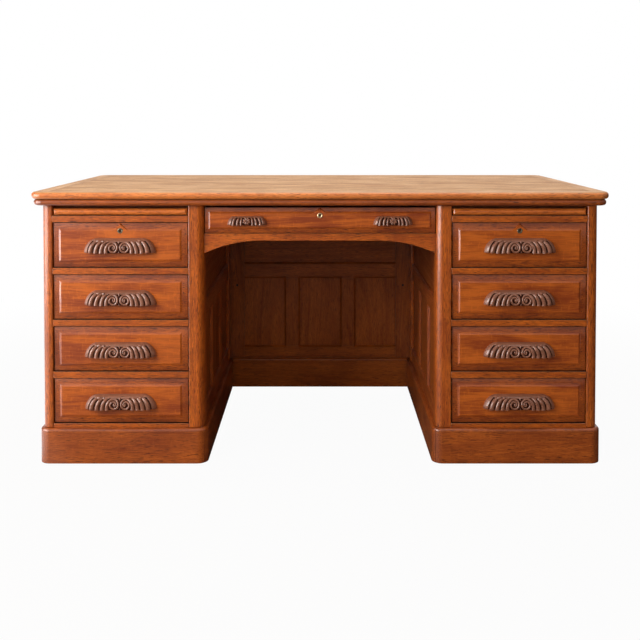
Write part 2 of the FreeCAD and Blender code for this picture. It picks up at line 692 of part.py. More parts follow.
class Lock:
    """The lock of a drawer: case, bolt and round escutcheon."""

    def __init__(self, drawer):
        """Set the lock into the back of a drawer's front."""
        self.x = drawer.middle
        self.face = drawer.face
        self.back = drawer.back_of_front
        self.top = drawer.z1
        self.bolt_y = self.back - LOCK_THICKNESS / 2

    def case_block(self):
        """Space that the case fills."""
        return block(self.x - LOCK_WIDTH / 2, self.x + LOCK_WIDTH / 2, self.back - LOCK_THICKNESS,
                     self.back, self.top - LOCK_HEIGHT, self.top)

    def bolt_block(self, clearance, foot, head):
        """Space round the bolt between two heights."""
        half_x = BOLT_WIDTH / 2 + clearance
        half_y = BOLT_THICKNESS / 2 + clearance
        return block(self.x - half_x, self.x + half_x, self.bolt_y - half_y, self.bolt_y + half_y,
                     foot, head)

    def pin(self, radius, y0, y1):
        """Round bar on the keyhole's axis."""
        centre = Vector(self.x, y0, self.top - KEYHOLE_DROP)
        return Part.makeCylinder(radius, y1 - y0, centre, Vector(0, 1, 0))

    def keyhole(self):
        """Hole through the front, as far as the case."""
        return self.pin(KEYHOLE_RADIUS, self.face - OVERRUN, self.back - LOCK_THICKNESS)

    def escutcheon(self):
        """Round plate round the keyhole, without its hole."""
        return self.pin(ESCUTCHEON_RADIUS, self.face - ESCUTCHEON_STAND, self.face + ESCUTCHEON_DEPTH)

    def make_fixed_parts(self):
        """Case with the bolt's slot, and the escutcheon."""
        foot = self.top - BOLT_HEIGHT - BOLT_CLEARANCE
        slot = self.bolt_block(BOLT_CLEARANCE, foot, self.top + OVERRUN)
        return [self.case_block().cut(slot), self.escutcheon().cut(self.keyhole())]

    def make_bolt(self):
        """Bolt drawn back into the case."""
        return self.bolt_block(0, self.top - BOLT_HEIGHT, self.top)

    def mortise(self, throw):
        """Pocket over the lock that the thrown bolt enters."""
        return self.bolt_block(MORTISE_CLEARANCE, self.top, self.top + throw + MORTISE_CLEARANCE)


def handle_form(width, height, projection, crown):
    """Return the form of a handle on the plane y = 0: flat below, rounded ends, bulging front."""
    half = width / 2
    end = height * HANDLE_END_SHARE
    diagonal = math.sqrt(0.5)
    bend = (half - end + end * diagonal, height * diagonal)
    plan = closed_face(Vector(-half, 0, 0), Vector(half, 0, 0),
                       (Vector(bend[0], 0, bend[1]), Vector(half - end, 0, height)),
                       Vector(end - half, 0, height),
                       (Vector(-bend[0], 0, bend[1]), Vector(-half, 0, 0)))
    bulge = -crown - (projection - crown) * HANDLE_BULGE_SHARE
    side = closed_face(Vector(-half, 0, 0), Vector(-half, -projection, 0),
                       (Vector(-half, bulge, height / 2), Vector(-half, -crown, height)),
                       Vector(-half, 0, height))
    return plan.extrude(Vector(0, -projection, 0)).common(side.extrude(Vector(width, 0, 0)))


def make_handle(drawer, offset, width, height, projection, crown, wall):
    """Handle on a drawer's field, hollow behind its lower lip."""
    hollow = handle_form(width - 2 * wall, height - wall, projection - wall, crown / 2)
    hollow.translate(Vector(0, 0, -OVERRUN))
    handle = handle_form(width, height, projection, crown).cut(hollow)
    middle = (drawer.z0 + drawer.z1) / 2
    handle.translate(Vector(drawer.middle + offset, drawer.face, middle - height / 2))
    return handle


def pedestal_drawer(number):
    """Drawer of the left pedestal."""
    floor = drawer_floor(number)
    return Drawer((OPENING_LEFT, OPENING_RIGHT), floor, floor + DRAWER_OPENING_HEIGHT, FRONT,
                  DRAWER_LENGTH, (MARGIN_WIDTH, COVE_WIDTH), DRAWER_TAIL_COUNT)


def centre_drawer():
    """Drawer over the kneehole."""
    return Drawer((INNER_FACE, -INNER_FACE), APRON_TOP, CARCASS_TOP - CENTRE_KICKER_THICKNESS,
                  CENTRE_FACE, CENTRE_DRAWER_LENGTH, (CENTRE_MARGIN_WIDTH, CENTRE_COVE_WIDTH),
                  CENTRE_DRAWER_TAIL_COUNT)


# Writing slide

def make_slide():
    """Return the board of the left writing slide and the rounded nosing on its front."""
    x0 = OPENING_LEFT + SLIDE_SIDE_GAP
    x1 = OPENING_RIGHT - SLIDE_SIDE_GAP
    z0 = SLIDE_BED + RUNNING_GAP
    z1 = z0 + SLIDE_THICKNESS
    radius = SLIDE_THICKNESS / 2
    joint = FRONT + SLIDE_NOSING_DEPTH
    rounded = closed_face(Vector(x0, joint, z0), Vector(x0, FRONT + radius, z0),
                          (Vector(x0, FRONT, z0 + radius), Vector(x0, FRONT + radius, z1)),
                          Vector(x0, joint, z1)).extrude(Vector(x1 - x0, 0, 0))
    corner = SLIDE_CORNER_RADIUS
    plan = rounded_block(x0, x1, FRONT, joint, z0, z1, [corner, corner, 0, 0])
    return [block(x0, x1, joint, FRONT + SLIDE_LENGTH, z0, z1), rounded.common(plan)]


# Screws

def make_top_screws():
    """Screws up through the left pedestal's kickers into the top."""
    screws = []
    for x in ((SIDE_FRAME_OUTER_BACK + OPENING_LEFT + RUNNER_LEDGE) / 2,
              (SIDE_FRAME_INNER_BACK + OPENING_RIGHT - RUNNER_LEDGE) / 2):
        for y in (POST_BACK + SCREW_END_DISTANCE, REAR_POST_FRONT - SCREW_END_DISTANCE):
            head = Vector(x, y, CARCASS_TOP - TOP_RAIL_THICKNESS)
            screws.append(screw(head, Vector(0, 0, 1), SCREW_LENGTH))
    return screws


def make_back_screw():
    """Screw through the left stile of the kneehole's back into its cleat."""
    head = Vector(INNER_FACE + KNEEHOLE_STILE_WIDTH / 2, KNEEHOLE_BACK_FACE, BACK_SCREW_HEIGHT)
    return screw(head, Vector(0, 1, 0), BACK_SCREW_LENGTH)


# The whole desk

def make_drawers(nodes):
    """Add all drawers, handles, locks and bolts, and return the locks."""
    locks = {}
    for number in range(1, DRAWER_COUNT + 1):
        drawer = pedestal_drawer(number)
        lock = Lock(drawer) if number == 1 else None
        front, box = drawer.make_parts(lock)
        handle = make_handle(drawer, 0, HANDLE_WIDTH, HANDLE_HEIGHT, HANDLE_PROJECTION,
                             HANDLE_CROWN, HANDLE_WALL)
        pieces = {f"drawer_{number}_front": front, f"drawer_{number}_box": group(box),
                  f"drawer_{number}_handle": handle}
        if lock:
            locks["pedestal"] = lock
            pieces["lock"] = group(lock.make_fixed_parts())
            pieces["lock_bolt"] = lock.make_bolt()
        for name, shape in pieces.items():
            nodes[f"left_{name}"] = shape
            nodes[f"right_{name}"] = mirrored(shape)

    drawer = centre_drawer()
    lock = Lock(drawer)
    locks["centre"] = lock
    front, box = drawer.make_parts(lock)
    offset = drawer.x1 - drawer.middle - SMALL_HANDLE_END_DISTANCE
    handles = [make_handle(drawer, place, SMALL_HANDLE_WIDTH, SMALL_HANDLE_HEIGHT,
                           SMALL_HANDLE_PROJECTION, SMALL_HANDLE_CROWN, SMALL_HANDLE_WALL)
               for place in (-offset, offset)]
    nodes["centre_drawer_front"] = front
    nodes["centre_drawer_box"] = group(box)
    nodes["centre_drawer_handles"] = group(handles)
    nodes["centre_lock"] = group(lock.make_fixed_parts())
    nodes["centre_lock_bolt"] = lock.make_bolt()
    return locks


def make_desk():
    """Return every sub-part of the desk by its name."""
    nodes = {}
    locks = make_drawers(nodes)
    top_screws = make_top_screws()
    top_screws += [mirrored(s) for s in top_screws]
    back_screws = [make_back_screw(), mirrored(make_back_screw())]

    nodes["top_boards"] = group(cut_all(make_top_boards(), top_screws))
    nodes["top_lipping"] = group(cut_all(make_top_lipping(), top_screws))
    centre_mortise = locks["centre"].mortise(CENTRE_BOLT_THROW)
    nodes["top_under_frame"] = group(cut_all(make_under_frame(), top_screws + [centre_mortise]))
    nodes["fixing_screws"] = group(top_screws + back_screws)

    posts = make_posts()
    sides, back, panels = make_pedestal_frames()
    pedestal = {
        "posts": cut_all(posts, panels),
        "side_frames": sides,
        "back_frame": back,
        "panels": panels,
        "front_rails": cut_all(make_front_rails(), [locks["pedestal"].mortise(BOLT_THROW)]),
        "runners": cut_all(make_runners(), top_screws),
        "bottom_and_dust_boards": make_pedestal_boards(posts),
        "plinth": make_plinth(),
        "writing_slide": make_slide(),
    }
    for name, solids in pedestal.items():
        shape = group(solids)
        nodes[f"left_{name}"] = shape
        nodes[f"right_{name}"] = mirrored(shape)

    frame, kneehole_panels = make_kneehole_back()
    nodes["kneehole_back_frame"] = group(cut_all(frame, back_screws))
    nodes["kneehole_back_panels"] = group(kneehole_panels)
    nodes["kneehole_skirting"] = make_skirting()
    nodes["apron"] = make_apron()
    nodes["centre_drawer_runners"] = group(make_centre_runners())
    return nodes


os.makedirs("parts", exist_ok=True)
for node, shape in make_desk().items():
    print(node, len(shape.Solids), shape.isValid())
    shape.exportStep(f"parts/{node}.step")
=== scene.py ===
"""Looks of an oak pedestal desk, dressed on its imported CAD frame.

Lengths are in metres, in the frame of the CAD model: +X to the right, the front faces -Y.
"""
import json
import logging
import math
import random
from collections.abc import Iterable, Sequence
from dataclasses import dataclass, field
from enum import Enum

import bmesh
import bpy
import numpy as np
from mathutils import Matrix, Vector
from mathutils.kdtree import KDTree

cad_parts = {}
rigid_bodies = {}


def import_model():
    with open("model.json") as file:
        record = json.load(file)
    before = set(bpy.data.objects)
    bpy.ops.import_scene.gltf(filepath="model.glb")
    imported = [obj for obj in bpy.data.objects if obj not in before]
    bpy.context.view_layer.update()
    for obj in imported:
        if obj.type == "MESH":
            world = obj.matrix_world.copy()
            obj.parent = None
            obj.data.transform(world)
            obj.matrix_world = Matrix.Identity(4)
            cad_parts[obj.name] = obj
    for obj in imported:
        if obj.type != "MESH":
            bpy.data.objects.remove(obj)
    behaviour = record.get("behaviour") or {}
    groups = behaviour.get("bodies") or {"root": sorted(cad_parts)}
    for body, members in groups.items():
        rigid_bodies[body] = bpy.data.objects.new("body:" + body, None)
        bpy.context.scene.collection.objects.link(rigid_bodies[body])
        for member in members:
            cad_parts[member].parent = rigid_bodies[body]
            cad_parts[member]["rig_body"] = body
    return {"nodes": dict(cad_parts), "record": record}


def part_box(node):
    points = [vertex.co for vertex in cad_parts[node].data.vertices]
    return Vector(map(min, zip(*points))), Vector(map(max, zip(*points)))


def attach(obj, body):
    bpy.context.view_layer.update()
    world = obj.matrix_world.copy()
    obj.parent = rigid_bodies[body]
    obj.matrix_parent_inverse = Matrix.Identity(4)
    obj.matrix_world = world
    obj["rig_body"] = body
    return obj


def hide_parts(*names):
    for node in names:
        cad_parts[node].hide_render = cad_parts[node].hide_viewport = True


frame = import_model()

log = logging.getLogger("desk")
Colour = tuple[float, float, float]
Point = tuple[float, float, float]
Span = tuple[float, float]
Socket = bpy.types.NodeSocket
MM = 0.001
SEED = 1907
MERGE_DISTANCE = 0.002 * MM
# The record's material slot of each CAD node
SLOTS = {part["node"]: part["material_slot"] for part in frame["record"]["subparts"]}


# Node trees

class Tree:
    """A node tree with short calls for adding and wiring nodes."""

    def __init__(self, tree: bpy.types.NodeTree) -> None:
        """Keep the tree."""
        self.tree = tree

    def feed(self, node: bpy.types.Node, inputs: dict[str | int, object]) -> None:
        """Link a node's inputs, or set their own values.

        Args:
            node: The node.
            inputs: Output sockets, plain numbers, vectors or colours, by the input's name or
                number. None leaves an input as it is.
        """
        for key, value in inputs.items():
            socket = node.inputs[key]
            if value is None:
                continue
            if isinstance(value, bpy.types.NodeSocket):
                self.tree.links.new(value, socket)
            elif socket.type == "RGBA" and len(value) == 3:
                socket.default_value = (*value, 1.0)
            else:
                socket.default_value = value

    def node(self, kind: str, inputs: dict[str | int, object] | None = None,
             **settings: object) -> bpy.types.Node:
        """Add a node.

        Args:
            kind: Its type.
            inputs: What its inputs are fed with.
            **settings: Its properties.

        Returns:
            The node.
        """
        node = self.tree.nodes.new(kind)
        for name, value in settings.items():
            setattr(node, name, value)
        self.feed(node, inputs or {})
        return node

    def math(self, operation: str, a: object, b: object = None, clamp: bool = False) -> Socket:
        """Return the result of a Math node."""
        return self.node("ShaderNodeMath", {0: a, 1: b}, operation=operation, use_clamp=clamp).outputs[0]

    def add(self, total: object, *others: object) -> Socket:
        """Return a sum."""
        for value in others:
            total = self.math("ADD", total, value)
        return total

    def times(self, total: object, *others: object) -> Socket:
        """Return a product."""
        for value in others:
            total = self.math("MULTIPLY", total, value)
        return total

    def minus(self, a: object, b: object) -> Socket:
        """Return a difference."""
        return self.math("SUBTRACT", a, b)

    def largest(self, total: object, *others: object) -> Socket:
        """Return the largest of some values."""
        for value in others:
            total = self.math("MAXIMUM", total, value)
        return total

    def vector(self, operation: str, a: object, b: object = None) -> Socket:
        """Return the result of a Vector Math node."""
        return self.node("ShaderNodeVectorMath", {0: a, 1: b}, operation=operation).outputs[0]

    def in_mm(self, place: object) -> Socket:
        """Return a place in millimetres."""
        return self.node("ShaderNodeVectorMath", {0: place, "Scale": 1 / MM}, operation="SCALE").outputs[0]

    def split(self, vector: object) -> tuple[Socket, ...]:
        """Return the three parts of a vector."""
        return tuple(self.node("ShaderNodeSeparateXYZ", {0: vector}).outputs)

    def join(self, x: object, y: object, z: object) -> Socket:
        """Return a vector of three parts."""
        return self.node("ShaderNodeCombineXYZ", {0: x, 1: y, 2: z}).outputs[0]

    def blend(self, factor: object, a: object, b: object) -> Socket:
        """Return two colours mixed."""
        return self.node("ShaderNodeMix", {"Factor": factor, 6: a, 7: b}, data_type="RGBA").outputs[2]

    def blend_shaders(self, factor: object, a: object, b: object) -> Socket:
        """Return two shaders mixed."""
        return self.node("ShaderNodeMixShader", {0: factor, 1: a, 2: b}).outputs[0]

    def remap(self, value: object, low: float, high: float, to_low: float = 0.0,
              to_high: float = 1.0, smooth: bool = False) -> Socket:
        """Return a value moved from one range to another, held at its ends."""
        return self.node("ShaderNodeMapRange", dict(enumerate((value, low, high, to_low, to_high))),
                         clamp=True, interpolation_type="SMOOTHSTEP" if smooth else "LINEAR").outputs[0]

    def noise(self, vector: object, detail: float, rough: float) -> Socket:
        """Return noise of one unit's size, about 0.5."""
        return self.node("ShaderNodeTexNoise", {"Vector": vector, "Scale": 1.0, "Detail": detail,
                                                "Roughness": rough}, noise_dimensions="3D").outputs["Fac"]

    def attribute(self, name: str, output: str = "Fac") -> Socket:
        """Return an attribute of the piece."""
        return self.node("ShaderNodeAttribute", attribute_name=name).outputs[output]

    def bump(self, height: object, strength: float, distance: float) -> Socket:
        """Return a normal that follows a height."""
        return self.node("ShaderNodeBump", {"Height": height, "Strength": strength,
                                            "Distance": distance}).outputs["Normal"]


def new_group(name: str, inputs: dict[str, object], outputs: dict[str, str],
              kind: str = "ShaderNodeTree") -> tuple[Tree, object, bpy.types.Node]:
    """Make a node group with named sockets.

    Args:
        name: The group's name.
        inputs: Socket names with a default, or with a socket type where there is none.
        outputs: Socket names with their types.
        kind: The kind of tree.

    Returns:
        The tree, the sockets that it is given and its output node.
    """
    group = bpy.data.node_groups.new(name, kind)
    for label, default in inputs.items():
        if isinstance(default, str):
            group.interface.new_socket(label, in_out="INPUT", socket_type=default)
            continue
        plain = isinstance(default, float)
        socket = group.interface.new_socket(label, in_out="INPUT",
                                            socket_type="NodeSocketFloat" if plain else "NodeSocketColor")
        socket.default_value = default if plain else (*default, 1.0)
    for label, socket_type in outputs.items():
        group.interface.new_socket(label, in_out="OUTPUT", socket_type=socket_type)
    tree = Tree(group)
    return tree, tree.node("NodeGroupInput").outputs, tree.node("NodeGroupOutput")


def new_material(name: str) -> tuple[bpy.types.Material, Tree]:
    """Return a new material and its tree."""
    material = bpy.data.materials.new(name)
    material.use_nodes = True
    return material, Tree(material.node_tree)


def oak_grain_group() -> bpy.types.NodeTree:
    """Build the grain of oak: growth rings, fibres, open pores, rays and cloudy tone.

    Returns:
        The group. Place is the spot on a board, with X along the grain, in metres.
    """
    tree, get, out = new_group(
        "oak grain",
        {"Place": "NodeSocketVector", "Seed": 0.0, "Light": (0.5, 0.2, 0.08), "Dark": (0.3, 0.1, 0.03),
         "Pore": (0.1, 0.03, 0.01), "Ring Width": 5.0, "Rings": 0.5, "Fibres": 0.4, "Pores": 0.5,
         "Rays": 0.2, "Clouds": 0.4},
        {"Colour": "NodeSocketColor", "Height": "NodeSocketFloat", "Tone": "NodeSocketFloat"})
    seed_shifts = (913.0, 377.0, 151.0)
    sx, sy, sz = (tree.times(get["Seed"], shift) for shift in seed_shifts)
    x, y, z = tree.split(tree.in_mm(get["Place"]))

    def along(stretch: float, shift: Socket) -> Socket:
        """Return the place along the grain, stretched and moved by the seed."""
        return tree.add(tree.times(x, stretch), shift)

    def stretched(kx: float, ky: float, kz: float) -> Socket:
        """Return the place in millimetres, scaled along each axis and moved by the seed."""
        return tree.join(along(kx, sx), tree.add(tree.times(y, ky), sy), tree.add(tree.times(z, kz), sz))

    def drift(kx: float, ky: float, amount: float) -> Socket:
        """Return a slow sideways drift of the grain in millimetres."""
        return tree.times(tree.minus(tree.noise(stretched(kx, ky, ky), 2, 0.5), 0.5), amount)

    wandering = tree.add(y, drift(0.0013, 0.006, 26.0))
    lane = tree.add(wandering, drift(0.006, 0.02, 7.0))
    # The board is sawn beside the heart, so that rings run as long arches along it
    heart_shift, heart_tilt, heart_depth = 120.0, 0.04, 78.0
    across = tree.add(wandering, tree.times(tree.minus(get["Seed"], 0.5), heart_shift))
    heart = tree.add(tree.times(x, heart_tilt), tree.add(z, heart_depth))
    radius = tree.math("SQRT", tree.add(tree.times(across, across), tree.times(heart, heart)))
    turns = tree.math("DIVIDE", radius, get["Ring Width"])
    rings = tree.noise(tree.join(along(0.002, sx), turns, sy), 3, 0.6)
    fibres = tree.noise(tree.join(along(0.022, sx), tree.times(lane, 0.42), tree.times(z, 0.5)), 4, 0.72)
    specks = tree.noise(tree.join(along(0.055, sy), tree.times(lane, 0.95), tree.times(z, 0.95)), 1, 0.5)
    pores = tree.remap(tree.add(specks, tree.times(rings, 0.30)), 0.70, 0.84)
    rays = tree.remap(tree.noise(stretched(0.16, 0.045, 0.05), 2, 0.55), 0.56, 0.70, smooth=True)
    clouds = tree.noise(stretched(0.0075, 0.02, 0.02), 3, 0.55)

    tone = 0.5
    for figure, label, gain in ((rings, "Rings", 3.0), (fibres, "Fibres", 2.4), (clouds, "Clouds", 2.6)):
        tone = tree.add(tone, tree.times(tree.minus(figure, 0.5), tree.times(get[label], gain)))
    tone = tree.math("ADD", tone, tree.times(rays, get["Rays"]), clamp=True)
    colour = tree.blend(tone, get["Dark"], get["Light"])
    colour = tree.blend(tree.math("MULTIPLY", pores, get["Pores"], clamp=True), colour, get["Pore"])
    height = tree.minus(tree.times(fibres, 0.5), tree.times(pores, 0.7))
    tree.feed(out, {"Colour": colour, "Height": height, "Tone": tone})
    return tree.tree


def board_age_and_shade_group() -> bpy.types.NodeTree:
    """Build the age of a board: worn arrises, soiling and painted shade near its edges, dark end grain.

    Returns:
        The group. Half is half the board's size, so that edges are found from Place.
    """
    tree, get, out = new_group(
        "board age and edge shade",
        {"Place": "NodeSocketVector", "Half": "NodeSocketVector", "Seed": 0.0, "Colour": (0.5, 0.2, 0.08),
         "Worn": (0.6, 0.35, 0.2), "Grime And Shade": (0.05, 0.02, 0.01), "Wear Amount": 0.4, "Grime And Shade Amount": 0.4,
         "Wear Width": 1.3, "Grime And Shade Width": 7.0, "End Grain": 0.4},
        {"Colour": "NodeSocketColor", "Wear": "NodeSocketFloat"})
    inside = tree.vector("SUBTRACT", get["Half"], tree.vector("ABSOLUTE", get["Place"]))
    a, b, c = tree.split(tree.in_mm(inside))
    edge = tree.largest(tree.math("MINIMUM", a, b), tree.math("MINIMUM", tree.largest(a, b), c))
    moved = tree.vector("ADD", tree.in_mm(get["Place"]),
                        tree.join(tree.times(get["Seed"], 517.0), 3.0, get["Seed"]))
    coarse = tree.noise(tree.vector("MULTIPLY", moved, (0.02, 0.05, 0.05)), 3, 0.6)
    fine = tree.noise(tree.vector("MULTIPLY", moved, (0.12, 0.3, 0.3)), 2, 0.6)
    rubbed = tree.times(
        tree.remap(tree.math("DIVIDE", edge, get["Wear Width"]), 0.2, 1.0, 1.0, 0.0, smooth=True),
        tree.remap(tree.add(coarse, fine), 0.8, 1.15), get["Wear Amount"])
    # Darkening that falls off from each edge of a board, in patches: partly soiling, partly painted shade along
    # creases and gaps between parts
    fall = tree.math("POWER", math.e, tree.times(tree.math("DIVIDE", edge, get["Grime And Shade Width"]), -1.0))
    dirt_and_shade = tree.times(fall, tree.remap(coarse, 0.3, 0.62), get["Grime And Shade Amount"])
    stain_and_shade = tree.largest(dirt_and_shade, tree.times(tree.remap(a, 0.3, 0.8, 1.0, 0.0), get["End Grain"]))
    soiled_and_shaded = tree.blend(stain_and_shade, get["Colour"], get["Grime And Shade"])
    tree.feed(out, {"Colour": tree.blend(rubbed, soiled_and_shaded, get["Worn"]), "Wear": rubbed})
    return tree.tree


# Finishes

@dataclass(frozen=True)
class OakFinish:
    """How one kind of oak surface looks.

    Widths are in millimetres. The colour for hollows paints carved ground nearly black: painted shade in the
    grooves. on_flats gives the light and dark of the board's broad faces down to flats_end, where the varnish
    may differ too.
    """

    name: str
    light: Colour
    dark: Colour
    pore: Colour
    worn: Colour
    # Colour of the darkening near edges: partly soiling, partly painted shade
    grime_and_shade: Colour
    roughness: float = 0.45
    specular: float = 0.2
    coat: float = 0.6
    coat_roughness: float = 0.14
    ring_width: float = 5.0
    rings: float = 0.5
    fibres: float = 0.7
    pores: float = 0.85
    rays: float = 0.15
    clouds: float = 0.6
    wear: float = 0.35
    grime_and_shade_amount: float = 0.5
    grime_and_shade_width: float = 7.0
    end_grain: float = 0.4
    bump: float = 0.25
    painted_shade_in_hollows: Colour | None = None
    on_flats: tuple[Colour, Colour] | None = None
    flats_end: float = 3.5
    flats_coat: float | None = None

    def build(self) -> bpy.types.Material:
        """Return the material, which reads the attributes place, half and seed of a piece."""
        material, tree = new_material(self.name)
        place, half = tree.attribute("place", "Vector"), tree.attribute("half", "Vector")
        seed = tree.attribute("seed")
        grain = bpy.data.node_groups.get("oak grain") or oak_grain_group()
        figure = tree.node("ShaderNodeGroup", {
            "Place": place, "Seed": seed, "Light": self.light, "Dark": self.dark, "Pore": self.pore,
            "Ring Width": self.ring_width, "Rings": self.rings, "Fibres": self.fibres, "Pores": self.pores,
            "Rays": self.rays, "Clouds": self.clouds}, node_tree=grain).outputs
        colour, coat = figure["Colour"], self.coat
        if self.painted_shade_in_hollows:
            # Carved ground is painted nearly black and loses its coat: painted shade in the grooves between the
            # reeds
            raised = tree.remap(tree.attribute("relief"), 0.05, 0.85, smooth=True)
            colour = tree.blend(raised, self.painted_shade_in_hollows, colour)
            coat = tree.times(raised, self.coat)
        if self.on_flats:
            light, dark = self.on_flats
            depth = tree.vector("SUBTRACT", half, tree.vector("ABSOLUTE", place))
            flatness = tree.remap(tree.split(tree.in_mm(depth))[2], self.flats_end * 0.1, self.flats_end,
                                  1.0, 0.0, smooth=True)
            colour = tree.blend(flatness, colour, tree.blend(figure["Tone"], dark, light))
            if self.flats_coat is not None:
                coat = tree.remap(flatness, 0.0, 1.0, self.coat, self.flats_coat)
        age = bpy.data.node_groups.get("board age and edge shade") or board_age_and_shade_group()
        aged = tree.node("ShaderNodeGroup", {
            "Place": place, "Half": half, "Seed": seed, "Colour": colour, "Worn": self.worn,
            "Grime And Shade": self.grime_and_shade, "Wear Amount": self.wear, "Grime And Shade Amount": self.grime_and_shade_amount,
            "Grime And Shade Width": self.grime_and_shade_width, "End Grain": self.end_grain}, node_tree=age).outputs
        rough = tree.remap(figure["Tone"], 0.0, 1.0, self.roughness + 0.07, self.roughness - 0.04)
        tree.feed(material.node_tree.nodes["Principled BSDF"], {
            "Base Color": aged["Colour"],
            "Roughness": tree.math("ADD", rough, tree.times(aged["Wear"], 0.12), clamp=True),
            "Specular IOR Level": self.specular, "Coat Weight": coat,
            "Coat Roughness": self.coat_roughness,
            "Normal": tree.bump(figure["Height"], self.bump, 0.4 * MM)})
        return material


@dataclass(frozen=True)
class MetalFinish:
    """How an old metal surface looks."""

    name: str
    bright: Colour
    tarnish: Colour
    roughness: float
    tarnished: float

    def build(self) -> bpy.types.Material:
        """Return the material, with tarnish in patches over Object coordinates."""
        material, tree = new_material(self.name)
        place = tree.node("ShaderNodeTexCoord").outputs["Object"]
        spots = tree.noise(tree.vector("MULTIPLY", place, (420.0, 420.0, 420.0)), 3, 0.6)
        marks = tree.noise(tree.vector("MULTIPLY", place, (1900.0, 1900.0, 700.0)), 2, 0.5)
        spread = 0.4 * self.tarnished
        patch = tree.remap(tree.add(spots, tree.times(marks, 0.3)), 0.85 - spread, 1.0 - spread, smooth=True)
        tree.feed(material.node_tree.nodes["Principled BSDF"], {
            "Base Color": tree.blend(patch, self.bright, self.tarnish),
            "Roughness": tree.remap(patch, 0.0, 1.0, self.roughness, self.roughness + 0.25),
            "Metallic": tree.remap(patch, 0.0, 1.0, 1.0, 0.75),
            "Normal": tree.bump(marks, 0.3, 0.1 * MM)})
        return material


TOP_TONES = ((0.64, 0.335, 0.125), (0.36, 0.160, 0.052))
CASE_PORE = (0.055, 0.010, 0.003)
# Colour of the case's darkening near edges: partly soiling, partly painted shade
CASE_GRIME_AND_SHADE = (0.045, 0.010, 0.003)


